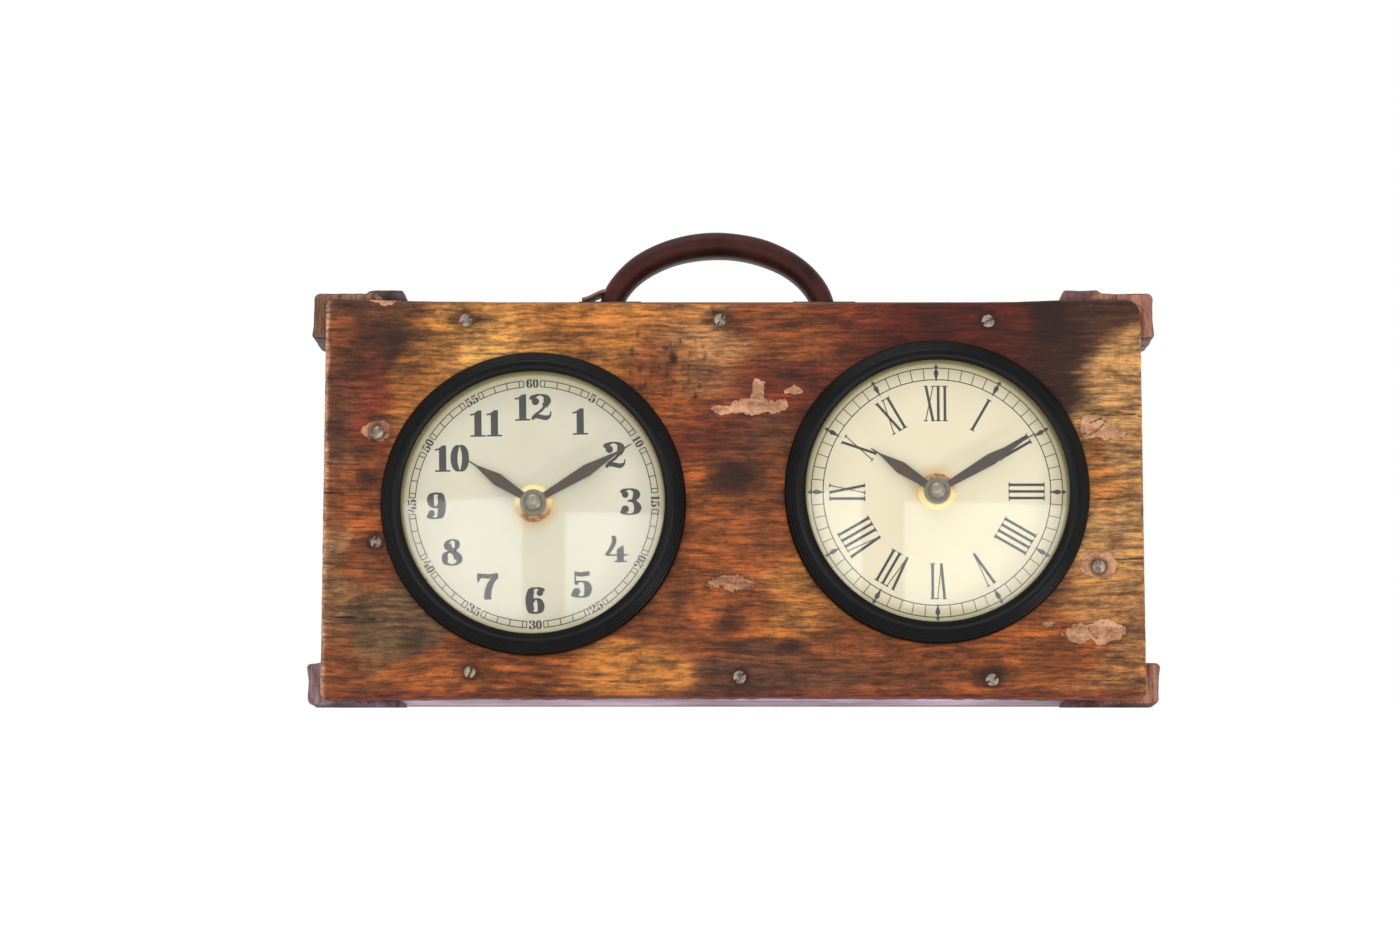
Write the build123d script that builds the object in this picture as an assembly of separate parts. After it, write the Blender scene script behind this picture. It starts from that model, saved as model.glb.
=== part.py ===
from build123d import *
import math
import os

# Table clock: a box of reclaimed boards with a thick front plank, two round quartz clocks, leather guards
# round the four corners and a leather carrying handle. Millimetres, +Z up, +X to the right seen from the
# front, front towards -Y. The origin lies on the table, under the middle of the whole object.

# Front plank
plank_width = 271.2
plank_height = 134.0
plank_thickness = 9.0
plank_top_sag = 1.6  # the top edge is worn hollow
plank_bottom_rise = 0.8  # and so is the bottom edge, by less
plank_edge_wear = 1.1

# Box behind the plank
board_depth = 31.0
board_thickness = 12.0
side_thickness = 20.0
side_inset = 0.5  # plank beyond the box, at each side
top_rise = 0.3  # box above the plank's corners
bottom_inset = 1.2  # plank below the box
back_thickness = 5.0
window_width = 76.0
window_height = 76.0
window_corner = 8.0

# Corner guards, cut from thick leather straps
guard_depth = 26.0
top_guard_thickness = 3.7
bottom_guard_thickness = 2.0
guard_side_thickness = 6.0
guard_leg = 25.0
guard_side_leg = 12.0
guard_lip_length = 13.5
guard_lip_rise = 1.1
guard_flare = 0.5
guard_corner_cut = 1.8
tack_head_radius = 2.3
tack_head_height = 0.7
tack_shank_radius = 0.8
tack_length = 10.0

# Handle
handle_x = -5.5
handle_half_span = 40.4  # of the arch's outer ellipse
handle_half_height = 30.1
handle_sink = 3.4  # the ellipse's centre below the top of the box
handle_crown_thickness = 8.8
handle_side_thickness = 7.4
handle_width = 13.0
handle_edge = 2.0
handle_plate_length = 21.0
handle_plate_width = 17.0
handle_plate_thickness = 1.6
handle_plate_beyond = 6.5  # plate beyond the grip's foot
handle_screw_radius = 1.5
handle_screw_depth = 5.0  # into the grip's foot
handle_screw_head_radius = 3.0
handle_screw_head_height = 1.8

# Wood screws and nails
screw_head_radius = 2.15
screw_head_height = 1.3
screw_shank_radius = 1.4
screw_length = 22.0
screw_recess = 0.6
screw_recess_radius = 2.9
back_screw_length = 12.0
nail_radius = 1.0
nail_head_radius = 2.2
nail_head_height = 0.8
nail_length = 32.0
nail_spacing = 10.0  # between the two at each corner
fastener_clearance = 0.05

# Where the plank's screws stand: across for the rows at the top and bottom, and up for the columns at the
# sides. The rows lie over the middle of the top and bottom boards.
top_screw_x = [-89.0, -4.2, 84.8]
bottom_screw_x = [-86.4, 2.1, 85.0]
left_screw_z = [52.2, 88.8]
right_screw_z = [44.1, 90.0]
left_screw_depth = 17.0  # from the side board's outer face
right_screw_depth = 14.6
top_row_drop = [1.7, 1.35, 1.95]  # below the middle of the top board
bottom_row_rise = [2.0, 0.4, -0.4]  # above the middle of the bottom board

# Clocks
left_clock_share = -0.2430  # of the plank's width, from its middle
left_clock_z = 64.85
right_clock_share = 0.2479
right_clock_z = 68.7
bezel_radius = 50.4
bezel_opening = 43.4
bezel_base_height = 2.6
bezel_crown = 6.4
bezel_shoulder_width = 2.9

# Dial and glass. Heights are measured forward from the plank's face.
dial_overlap = 2.0  # dial and glass beyond the bezel's opening
dial_thickness = 0.8
dial_clearance = 0.12
glass_seat = 3.2
glass_thickness = 1.4
glass_rise = 4.4
glass_slope_width = 6.0

# Spindle, hands and nuts
minute_shaft_radius = 1.2
hour_pipe_radius = 2.1
bushing_radius = 3.6
shaft_clearance = 0.06
press_clearance = 0.02
dial_hole_clearance = 0.3
nut_flange_radius = 6.2
nut_flange_thickness = 0.4
nut_across_flats = 10.2
nut_thickness = 1.6  # with its flange
bushing_proud = 0.2  # beyond the nut
hand_thickness = 0.45
hour_collar_radius = 3.4
hour_hand_gap = 0.4  # above the bushing's end
minute_hand_gap = 0.5  # above the hour hand's collar
minute_collar_radius = 4.3
cap_radius = 3.0
cap_height = 2.3
cap_wall = 0.7
cap_edge = 0.8
cap_top_radius = 2.1
hour_hand_length = 26.0
hour_hand_half_width = 2.05
minute_hand_length = 37.7
minute_hand_half_width = 2.0
hand_root_half_width = 0.85
hand_widest_at = 0.55  # of the hand's length
hand_tip_half_width = 0.3
hand_needle_at = 0.86  # of the length, where the blade runs out into its tip
hand_point_share = 0.6  # of the tip's width, at its very end
left_hour_angle = 303.0
left_minute_angle = 59.0
right_hour_angle = 303.2
right_minute_angle = 59.5

# Movement
movement_depth = 16.0
movement_wall = 1.2
movement_pocket = 4.0  # sunk into the back of the plank
pocket_clearance = 0.6
cover_clearance = 0.15
cover_thickness = 2.0
bay_height = 15.4
cell_radius = 7.1
cell_length = 49.3
cell_nub_radius = 2.7
cell_nub_length = 1.2
contact_thickness = 0.4
contact_width = 8.0
contact_bow = 2.7
gear_distance = 9.0
cannon_teeth = 8
minute_wheel_teeth = 24
small_pinion_teeth = 6
hour_wheel_teeth = 24
hour_wheel_thickness = 1.2
minute_wheel_thickness = 1.4
gear_gap = 0.6
hour_wheel_float = 0.3  # off the case's floor
tooth_depth_share = 1.05  # of the module, below the pitch circle
tooth_height_share = 0.7  # of the module, above it
tooth_land_share = 0.1  # of the pitch, either side of the tooth's middle
wheel_arbor_radius = 0.75
pivot_depth = 0.7
knob_radius = 5.0
knob_thickness = 3.6
knob_gap = 0.5
knob_flutes = 14
knob_groove_share = 0.9
board_size = (34.0, 9.0, 1.0)
board_wall_gap = 0.4
chip_size = (5.0, 5.0, 1.4)
crystal_size = (7.0, 2.0, 2.0)
chip_inset = 4.0  # from the board's end
coil_radius = 3.6
coil_length = 17.0
coil_flange = 0.8
coil_wall_gap = 2.0
coil_above_axis = 3.0
movement_corner = 3.0

# Worked out from the sizes above
cell_room = contact_bow + cell_length + cell_nub_length + contact_thickness
movement_size = cell_room + 2 * movement_wall
front_module = 2 * gear_distance / (small_pinion_teeth + hour_wheel_teeth)
rear_module = 2 * gear_distance / (cannon_teeth + minute_wheel_teeth)
case_depth = plank_thickness + board_depth + back_thickness
glass_front = glass_seat + glass_rise + glass_thickness
front_y = (glass_front - case_depth) / 2
plank_back_y = front_y + plank_thickness
back_panel_y = plank_back_y + board_depth
guard_y = plank_back_y + board_depth / 2
plank_bottom_z = bottom_guard_thickness + guard_lip_rise - bottom_inset
box_bottom_z = plank_bottom_z + bottom_inset
box_top_z = plank_bottom_z + plank_height + top_rise
box_half_width = plank_width / 2 - side_inset
box_height = box_top_z - box_bottom_z
side_height = box_height - 2 * board_thickness
web_thickness = plank_thickness - movement_pocket
dial_face = dial_thickness
dial_hole_radius = bushing_radius + dial_hole_clearance
nut_front = dial_face + nut_thickness
bushing_end = nut_front + bushing_proud
hour_hand_back = bushing_end + hour_hand_gap
minute_hand_back = hour_hand_back + hand_thickness + minute_hand_gap
shaft_end = minute_hand_back + hand_thickness + cap_height - cap_wall
dial_radius = bezel_opening + dial_overlap
hour_wheel_y = web_thickness + movement_wall + hour_wheel_float
minute_wheel_y = hour_wheel_y + hour_wheel_thickness + gear_gap
cover_y = web_thickness + movement_depth - cover_thickness
clocks = [
    ("left", left_clock_share * plank_width, left_clock_z, left_hour_angle, left_minute_angle),
    ("right", right_clock_share * plank_width, right_clock_z, right_hour_angle, right_minute_angle),
]


def write(name, solids):
    """One STEP file per node, holding one solid or a group of like ones."""
    shape = Compound(children=solids) if len(solids) > 1 else solids[0]
    export_step(shape, "parts/" + name + ".step")


def block(x0, x1, y0, y1, z0, z1):
    """A box between two corners."""
    return Pos((x0 + x1) / 2, (y0 + y1) / 2, (z0 + z1) / 2) * Box(x1 - x0, y1 - y0, z1 - z0)


def upright(sketch, y_front, depth):
    """A plate with the sketch's outline seen from the front, from y_front backwards."""
    return Pos(0, y_front + depth, 0) * (Rot(90, 0, 0) * extrude(sketch, depth))


def turned(outline):
    """A turned piece: (radius, height forward of the plank's face) points, spun about the clock's axis."""
    points = [(radius, -height) for radius, height in outline]
    return revolve(make_face(Polyline(*points, close=True)), Axis.Y, 360)


def at_clock(piece, x, z):
    return Pos(x, front_y, z + plank_bottom_z) * piece


def bar(radius, y_front, y_back, sides):
    """A bar with flats along Y, for pins and nuts."""
    return upright(RegularPolygon(radius, sides), y_front, y_back - y_front)


def peg(radius, length, sides):
    """A bar with flats hanging down from z = 0."""
    return extrude(RegularPolygon(radius, sides), -length)


def round_bar(radius, y_front, y_back):
    """A cylinder along Y, y measured back from the plank's face."""
    return Pos(0, (y_front + y_back) / 2, 0) * (Rot(90, 0, 0) * Cylinder(radius, y_back - y_front))


def ring(outer, inner, y_front, y_back):
    return round_bar(outer, y_front, y_back) - round_bar(inner, y_front - 1, y_back + 1)


def screw(length):
    """A wood screw pointing along +Y, its head's face at y = 0; the thread bites into the board behind."""
    return bar(screw_head_radius, 0, screw_head_height, 8) + bar(screw_shank_radius, 0, length, 6)


def screw_hole(recess, depth):
    """The clearance hole of a screw, with the worn recess its head sits in."""
    mouth = bar(screw_recess_radius, -recess - 1, screw_head_height, 8)
    return mouth + bar(screw_shank_radius + fastener_clearance, 0, depth, 6)


def screw_spots():
    """Where the plank's screws stand, x and z."""
    top_row = box_top_z - board_thickness / 2
    bottom_row = box_bottom_z + board_thickness / 2
    spots = [(x, top_row - drop) for x, drop in zip(top_screw_x, top_row_drop)]
    spots += [(x, bottom_row + rise) for x, rise in zip(bottom_screw_x, bottom_row_rise)]
    spots += [(left_screw_depth - box_half_width, plank_bottom_z + z) for z in left_screw_z]
    spots += [(box_half_width - right_screw_depth, plank_bottom_z + z) for z in right_screw_z]
    return spots


def back_screw_spots():
    """Three screws along the top board and three along the bottom board."""
    across = box_half_width - side_thickness / 2
    rows = (box_bottom_z + board_thickness / 2, box_top_z - board_thickness / 2)
    return [(x, z) for z in rows for x in (-across, 0, across)]


def nail_spots():
    x = box_half_width - side_thickness / 2
    y = nail_spacing / 2
    return [(sx * x, guard_y + sy * y) for sx in (-1, 1) for sy in (-1, 1)]


def screw_shanks(extra):
    """The shanks of the plank's and the back panel's screws, to cut their holes in the boards."""
    shank = bar(screw_shank_radius + extra, 0, screw_length + extra, 6)
    pieces = [Pos(x, front_y + screw_recess, z) * shank for x, z in screw_spots()]
    back_shank = Rot(0, 0, 180) * bar(screw_shank_radius + extra, 0, back_screw_length + extra, 6)
    return pieces + [Pos(x, back_panel_y + back_thickness, z) * back_shank for x, z in back_screw_spots()]


def with_holes(piece, cutters):
    for cutter in cutters:
        piece -= cutter
    return piece


def nails(extra=0.0):
    """Cut nails down through the top board and up through the bottom board into the sides' ends."""
    head = nail_head_radius + extra
    nail = block(-head, head, -head, head, -nail_head_height - extra, 0)
    nail += peg(nail_radius + extra, nail_length + extra, 4)
    upper = [Pos(x, y, box_top_z) * nail for x, y in nail_spots()]
    lower = [Pos(x, y, box_bottom_z) * (Rot(180, 0, 0) * nail) for x, y in nail_spots()]
    return upper + lower


def front_plank():
    half = plank_width / 2
    top = plank_height
    rim = Polyline((half, 0), (half, top))
    rim += ThreePointArc((half, top), (0, top - plank_top_sag), (-half, top))
    rim += Polyline((-half, top), (-half, 0))
    rim += ThreePointArc((-half, 0), (0, plank_bottom_rise), (half, 0))
    plank = Pos(0, 0, plank_bottom_z) * upright(make_face(rim), front_y, plank_thickness)
    front_edges = plank.faces().sort_by(Axis.Y)[0].edges()
    plank = chamfer(front_edges, plank_edge_wear)
    size = movement_size + 2 * pocket_clearance
    corner = movement_corner
    for side, x, z, hour, minute in clocks:
        outline = chamfer(Rectangle(size, size).vertices(), corner)
        pocket = upright(outline, web_thickness, movement_pocket + 1)
        plank -= at_clock(pocket, x, z)
        plank -= at_clock(round_bar(dial_hole_radius, -1, plank_thickness), x, z)
    hole = screw_hole(screw_recess, plank_thickness)
    for x, z in screw_spots():
        plank -= Pos(x, front_y + screw_recess, z) * hole
    return plank


def long_board(z_bottom):
    board = block(-box_half_width, box_half_width, plank_back_y, back_panel_y, z_bottom, z_bottom + board_thickness)
    extra = fastener_clearance
    return with_holes(board, screw_shanks(extra) + nails(extra) + guard_tacks(extra))


def side_board(side):
    outer = side * box_half_width
    inner = side * (box_half_width - side_thickness)
    low = box_bottom_z + board_thickness
    board = block(min(outer, inner), max(outer, inner), plank_back_y, back_panel_y, low, low + side_height)
    return with_holes(board, screw_shanks(fastener_clearance) + nails(fastener_clearance))


def back_panel():
    y = back_panel_y
    panel = block(-box_half_width, box_half_width, y, y + back_thickness, box_bottom_z, box_top_z)
    for side, x, z, hour, minute in clocks:
        window = RectangleRounded(window_width, window_height, window_corner)
        panel -= at_clock(upright(window, case_depth - back_thickness - 1, back_thickness + 2), x, z)
    hole = Rot(0, 0, 180) * screw_hole(0, back_thickness + 1)
    for x, z in back_screw_spots():
        panel -= Pos(x, y + back_thickness, z) * hole
    return panel


def guard(side, level):
    """A strap bent round one corner: a leg with a raised end along the long board and a leg down the side."""
    t = top_guard_thickness if level > 0 else bottom_guard_thickness
    s = guard_side_thickness
    rise = guard_lip_rise
    lip = guard_leg - guard_lip_length
    leg = guard_side_leg
    flare = guard_flare
    outline = [
        (0, 0),
        (-guard_leg, 0),
        (-guard_leg, t),
        (-guard_leg + rise, t + rise),
        (-lip - rise, t + rise),
        (-lip, t),
        (s - guard_corner_cut, t),
        (s, t - guard_corner_cut),
        (s, -leg / 2),
        (s + flare, -leg + 2 * flare),
        (s - flare, -leg),
        (0, -leg - flare),
    ]
    corner_z = box_top_z if level > 0 else box_bottom_z
    points = [(side * (box_half_width + x), corner_z + level * z) for x, z in outline]
    strap = upright(make_face(Polyline(*points, close=True)), guard_y - guard_depth / 2, guard_depth)
    return with_holes(strap, guard_tacks(fastener_clearance))


def guard_tacks(extra=0.0):
    """A tack through each leg of each guard into the board under it."""
    head = extrude(RegularPolygon(tack_head_radius, 8), tack_head_height)
    tack = head + peg(tack_shank_radius + extra, tack_length + extra, 4)
    x_flat = box_half_width - (guard_leg - guard_lip_length) / 2
    x_side = box_half_width + guard_side_thickness
    pieces = []
    for side in (-1, 1):
        for corner_z, level, t in ((box_bottom_z, -1, bottom_guard_thickness), (box_top_z, 1, top_guard_thickness)):
            flat_z = corner_z + level * t
            side_z = corner_z - level * guard_side_leg / 3
            pieces.append(Pos(side * x_flat, guard_y, flat_z) * (Rot(90 - 90 * level, 0, 0) * tack))
            pieces.append(Pos(side * x_side, guard_y, side_z) * (Rot(0, 90 * side, 0) * tack))
    return pieces


def arch_reach(half_span, half_height, height):
    """How far from its middle an ellipse round the arch's centre is, at a height above the box."""
    return half_span * math.sqrt(1 - ((height + handle_sink) / half_height) ** 2)


def handle_grip():
    """A leather arch between two ellipses, its edges bevelled, standing on the two foot plates."""
    outer = Ellipse(handle_half_span, handle_half_height)
    inner = Ellipse(handle_half_span - handle_side_thickness, handle_half_height - handle_crown_thickness)
    foot = handle_plate_thickness + handle_sink
    above = Pos(0, foot + handle_half_height) * Rectangle(3 * handle_half_span, 2 * handle_half_height)
    grip = upright((outer - inner) & above, -handle_width / 2, handle_width)
    across = grip.faces().sort_by(Axis.Y)
    rims = across[0].edges() + across[-1].edges()
    grip = chamfer([e for e in rims if e.geom_type != GeomType.LINE], handle_edge)
    grip = Pos(handle_x, guard_y, box_top_z - handle_sink) * grip
    depth = handle_plate_thickness + handle_screw_depth + fastener_clearance
    for x in handle_foot_x():
        grip -= Pos(x, guard_y, box_top_z + depth) * peg(handle_screw_radius + fastener_clearance, depth, 6)
    return grip


def handle_foot_x():
    """The middle of each foot of the grip, half way up the screw inside it."""
    half_span = handle_half_span - handle_side_thickness / 2
    half_height = handle_half_height - handle_crown_thickness / 2
    reach = arch_reach(half_span, half_height, handle_plate_thickness + handle_screw_depth / 2)
    return (handle_x - reach, handle_x + reach)


def handle_plates():
    """One plate under each foot, reaching outwards past it."""
    foot = arch_reach(handle_half_span, handle_half_height, 0)
    plates = []
    for side, screw_x in zip((-1, 1), handle_foot_x()):
        far = handle_x + side * (foot + handle_plate_beyond)
        near = far - side * handle_plate_length
        y = handle_plate_width / 2
        plate = block(
            min(far, near), max(far, near), guard_y - y, guard_y + y, box_top_z, box_top_z + handle_plate_thickness
        )
        plates.append(plate - Pos(screw_x, guard_y, box_top_z) * handle_hole())
    return plates


def handle_hole():
    """The screw's clearance hole, through the plate and the top board."""
    above = 2 * handle_plate_thickness
    return Pos(0, 0, above) * peg(handle_screw_radius + fastener_clearance, above + 2 * board_thickness, 6)


def handle_screws():
    """Screws from inside the box, up through the top board and the plate into the grip's foot."""
    shank = board_thickness + handle_plate_thickness + handle_screw_depth
    body = Pos(0, 0, shank) * peg(handle_screw_radius, shank, 6) + peg(
        handle_screw_head_radius, handle_screw_head_height, 10
    )
    return [Pos(x, guard_y, box_top_z - board_thickness) * body for x in handle_foot_x()]


def bezel():
    """A turned ring: a shoulder up from the plank, a flat band, and a lip that holds the glass."""
    inner = dial_radius + dial_clearance
    band = bezel_radius - bezel_shoulder_width
    outline = [
        (inner, 0),
        (bezel_radius, 0),
        (bezel_radius, bezel_base_height),
        (band, bezel_crown),
        (bezel_opening, bezel_crown),
        (inner, glass_seat + glass_thickness + dial_clearance),
    ]
    return turned(outline)


def dial():
    """The printed plate, flat on the plank inside the bezel."""
    return ring(dial_radius, dial_hole_radius, -dial_face, 0)


def glass():
    """A raised clock glass, its rim under the bezel's lip and its middle clear of the hands."""
    slope_end = dial_radius - glass_slope_width
    inner = [(dial_radius, glass_seat), (slope_end, glass_seat + glass_rise), (0, glass_seat + glass_rise)]
    outer = [(radius, height + glass_thickness) for radius, height in reversed(inner)]
    return turned(inner + outer)


def fixing_nut():
    """A hexagon nut with a round flange, which draws the movement and the dial against the plank."""
    hexagon = RegularPolygon(nut_across_flats / 2, 6, major_radius=False)
    nut = upright(hexagon, -nut_front, nut_thickness)
    nut += round_bar(nut_flange_radius, -dial_face - nut_flange_thickness, -dial_face)
    return nut - round_bar(bushing_radius + shaft_clearance, -nut_front - 1, -dial_face + 1)


def hand(length, half_width, collar, bore, back, angle):
    """A long diamond blade: narrow at the collar, widest past the middle, drawn out to a fine tip."""
    half = [
        (hand_root_half_width, 0),
        (half_width, hand_widest_at * length),
        (hand_tip_half_width, hand_needle_at * length),
        (hand_tip_half_width * hand_point_share, length),
    ]
    outline = half + [(-x, z) for x, z in reversed(half)]
    blade = make_face(Polyline(*outline, close=True)) + Circle(collar) - Circle(bore)
    return Rot(0, angle, 0) * upright(blade, -back - hand_thickness, hand_thickness)


def cap_nut():
    """A domed nut with a blind hole for the end of the minute arbor."""
    base = minute_hand_back + hand_thickness
    edge = base + cap_height - cap_edge
    top = base + cap_height
    dome = turned([(0, base), (cap_radius, base), (cap_radius, edge), (cap_top_radius, top), (0, top)])
    return dome - round_bar(minute_shaft_radius + press_clearance, -shaft_end - press_clearance, -base + 1)


def gear(teeth, module, y_front, thickness, tooth_angle):
    """A wheel whose first tooth stands at tooth_angle, counted anticlockwise from +X seen from the front."""
    pitch_radius = module * teeth / 2
    root = pitch_radius - tooth_depth_share * module
    tip = pitch_radius + tooth_height_share * module
    land = tooth_land_share
    step = 360 / teeth
    points = []
    for tooth in range(teeth):
        middle = tooth_angle + tooth * step
        for radius, share in ((root, -1 / 2), (tip, -land), (tip, land)):
            turn = math.radians(middle + share * step)
            points.append((radius * math.cos(turn), radius * math.sin(turn)))
    return upright(make_face(Polyline(*points, close=True)), y_front, thickness)


def minute_arbor():
    """The minute shaft with its cannon pinion, from the cover's pivot hole to the cap nut."""
    pinion = gear(cannon_teeth, rear_module, minute_wheel_y, minute_wheel_thickness, 90)
    return pinion + round_bar(minute_shaft_radius, -shaft_end, cover_y + pivot_depth)


def hour_wheel():
    """The hour wheel and its pipe, which carries the hour hand."""
    gap_up = 90 + 180 / hour_wheel_teeth
    pipe_end = hour_hand_back + hand_thickness
    wheel = gear(hour_wheel_teeth, front_module, hour_wheel_y, hour_wheel_thickness, gap_up)
    wheel += round_bar(hour_pipe_radius, -pipe_end, hour_wheel_y + hour_wheel_thickness)
    return wheel - round_bar(minute_shaft_radius + shaft_clearance, -pipe_end - 1, minute_wheel_y)


def minute_wheel():
    """The minute wheel and its small pinion on one arbor, which ends behind the cover in the knob."""
    gap_down = -90 + 180 / minute_wheel_teeth
    knob_end = web_thickness + movement_depth + knob_gap + knob_thickness
    wheel = gear(minute_wheel_teeth, rear_module, minute_wheel_y, minute_wheel_thickness, gap_down)
    wheel += gear(small_pinion_teeth, front_module, hour_wheel_y, hour_wheel_thickness + gear_gap, -90)
    wheel += round_bar(wheel_arbor_radius, web_thickness + movement_wall - pivot_depth, knob_end)
    return Pos(0, 0, gear_distance) * wheel


def set_knob():
    """A fluted knob pressed on the end of the minute wheel's arbor."""
    y = web_thickness + movement_depth + knob_gap
    star = [
        (knob_radius * (1 if i % 2 else knob_groove_share), math.radians(180 * i / knob_flutes))
        for i in range(2 * knob_flutes)
    ]
    rim = Polyline(*[(r * math.cos(a), r * math.sin(a)) for r, a in star], close=True)
    knob = upright(make_face(rim), y, knob_thickness)
    knob -= round_bar(wheel_arbor_radius + press_clearance, y - 1, y + knob_thickness + 1)
    return Pos(0, 0, gear_distance) * knob


def bay_bottom():
    return -movement_size / 2 + movement_wall


def movement_case():
    """The front shell: a gear chamber above and a cell bay below, both open to the back, with the bushing."""
    inside = movement_size / 2 - movement_wall
    front = web_thickness
    back = web_thickness + movement_depth
    floor = front + movement_wall
    bay_top = bay_bottom() + bay_height
    outline = chamfer(Rectangle(movement_size, movement_size).vertices(), movement_corner)
    shell = upright(outline, front, movement_depth)
    shell -= block(-inside, inside, floor, back + 1, bay_bottom(), bay_top)
    shell -= block(-inside, inside, floor, back + 1, bay_top + movement_wall, inside)
    shell += round_bar(bushing_radius, -bushing_end, front + movement_wall / 2)
    shell -= round_bar(hour_pipe_radius + shaft_clearance, -bushing_end - 1, floor + 1)
    pivot = round_bar(wheel_arbor_radius + shaft_clearance, floor - pivot_depth - shaft_clearance, floor + 1)
    return shell - Pos(0, 0, gear_distance) * pivot


def movement_cover():
    """The plate that closes the gear chamber and carries the rear pivots."""
    half = movement_size / 2 - movement_wall - cover_clearance
    low = bay_bottom() + bay_height + movement_wall + cover_clearance
    back = web_thickness + movement_depth
    plate = block(-half, half, cover_y, back, low, half)
    plate -= round_bar(minute_shaft_radius + shaft_clearance, cover_y - 1, cover_y + pivot_depth + shaft_clearance)
    knob_hole = round_bar(wheel_arbor_radius + shaft_clearance, cover_y - 1, back + 1)
    return plate - Pos(0, 0, gear_distance) * knob_hole


def cell_centre():
    y = web_thickness + movement_wall + cell_radius + contact_thickness
    return y, bay_bottom() + bay_height / 2


def cell():
    """A cell lying across the bay, its nub against the plate contact on the right."""
    y, z = cell_centre()
    nub_end = movement_size / 2 - movement_wall - contact_thickness
    body_end = nub_end - cell_nub_length
    body = Pos(body_end - cell_length / 2, y, z) * (Rot(0, 90, 0) * Cylinder(cell_radius, cell_length))
    nub = Pos(nub_end - cell_nub_length / 2, y, z) * (Rot(0, 90, 0) * Cylinder(cell_nub_radius, cell_nub_length))
    return body + nub


def cell_contacts():
    """A flat plate at the nub and a bowed leaf at the other end."""
    y, z = cell_centre()
    wall = movement_size / 2 - movement_wall
    w = contact_width / 2
    plate = block(wall - contact_thickness, wall, y - w, y + w, z - w, z + w)
    reach = contact_bow
    t = contact_thickness
    outline = [(0, -w), (t, -w), (reach, -t), (reach, t), (t, w), (0, w), (0, w - t), (reach - t, 0), (0, t - w)]
    leaf = extrude(make_face(Polyline(*[(x - wall, y + dy) for x, dy in outline], close=True)), contact_width)
    return [plate, Pos(0, 0, z - w) * leaf]


def circuit_board():
    """The board with its chip and crystal, lying on the chamber's floor."""
    length, height, thickness = board_size
    face = web_thickness + movement_wall + thickness
    top = movement_size / 2 - movement_wall - board_wall_gap
    half = length / 2
    middle = top - height / 2
    board = block(-half, half, face - thickness, face, top - height, top)
    chip = block(0, chip_size[0], face, face + chip_size[2], -chip_size[1] / 2, chip_size[1] / 2)
    crystal = block(-crystal_size[0], 0, face, face + crystal_size[2], -crystal_size[1] / 2, crystal_size[1] / 2)
    return board + Pos(chip_inset - half, 0, middle) * chip + Pos(half - chip_inset, 0, middle) * crystal


def coil():
    """A wound bobbin beside the gears, its cheeks on the chamber's floor."""
    cheek = coil_radius + coil_flange
    y = web_thickness + movement_wall + cheek
    x = movement_size / 2 - movement_wall - cheek - coil_wall_gap
    half = coil_length / 2
    bobbin = Pos(0, 0, half) * peg(coil_radius, coil_length, 8)
    for low in (-half, half - coil_flange):
        bobbin += block(-cheek, cheek, -cheek, cheek, low, low + coil_flange)
    return Pos(x, y, coil_above_axis) * bobbin


def clock_pieces(hour_angle, minute_angle):
    """Every piece of one clock about its own axis, by name."""
    hour_bore = hour_pipe_radius + press_clearance
    minute_bore = minute_shaft_radius + press_clearance
    hour = (hour_hand_length, hour_hand_half_width, hour_collar_radius, hour_bore, hour_hand_back)
    minute = (minute_hand_length, minute_hand_half_width, minute_collar_radius, minute_bore, minute_hand_back)
    return {
        "bezel": bezel(),
        "glass": glass(),
        "dial": dial(),
        "hour_hand": hand(*hour, hour_angle),
        "minute_hand": hand(*minute, minute_angle),
        "cap_nut": cap_nut(),
        "minute_arbor": minute_arbor(),
        "hour_wheel": hour_wheel(),
        "minute_wheel": minute_wheel(),
        "set_knob": set_knob(),
        "movement_case": movement_case(),
        "movement_cover": movement_cover(),
        "cell": cell(),
        "cell_contacts": cell_contacts(),
        "circuit_board": circuit_board(),
        "coil": coil(),
    }


def main():
    os.makedirs("parts", exist_ok=True)
    top = long_board(box_top_z - board_thickness)
    for x in handle_foot_x():
        top -= Pos(x, guard_y, box_top_z) * handle_hole()
    write("front_plank", [front_plank()])
    write("top_board", [top])
    write("bottom_board", [long_board(box_bottom_z)])
    write("left_side_board", [side_board(-1)])
    write("right_side_board", [side_board(1)])
    write("back_panel", [back_panel()])
    front_screw = screw(screw_length)
    write("plank_screws", [Pos(x, front_y + screw_recess, z) * front_screw for x, z in screw_spots()])
    back_screw = Rot(0, 0, 180) * screw(back_screw_length)
    write("back_screws", [Pos(x, back_panel_y + back_thickness, z) * back_screw for x, z in back_screw_spots()])
    write("box_nails", nails())
    for side, side_name in ((-1, "left"), (1, "right")):
        write("top_" + side_name + "_guard", [guard(side, 1)])
        write("bottom_" + side_name + "_guard", [guard(side, -1)])
    write("guard_tacks", guard_tacks())
    write("handle_grip", [handle_grip()])
    write("handle_plates", handle_plates())
    write("handle_screws", handle_screws())
    write("fixing_nuts", [at_clock(fixing_nut(), x, z) for name, x, z, hour, minute in clocks])
    for name, x, z, hour_angle, minute_angle in clocks:
        for piece, solids in clock_pieces(hour_angle, minute_angle).items():
            group = solids if isinstance(solids, list) else [solids]
            write(name + "_" + piece, [at_clock(solid, x, z) for solid in group])


main()
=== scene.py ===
import math

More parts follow.
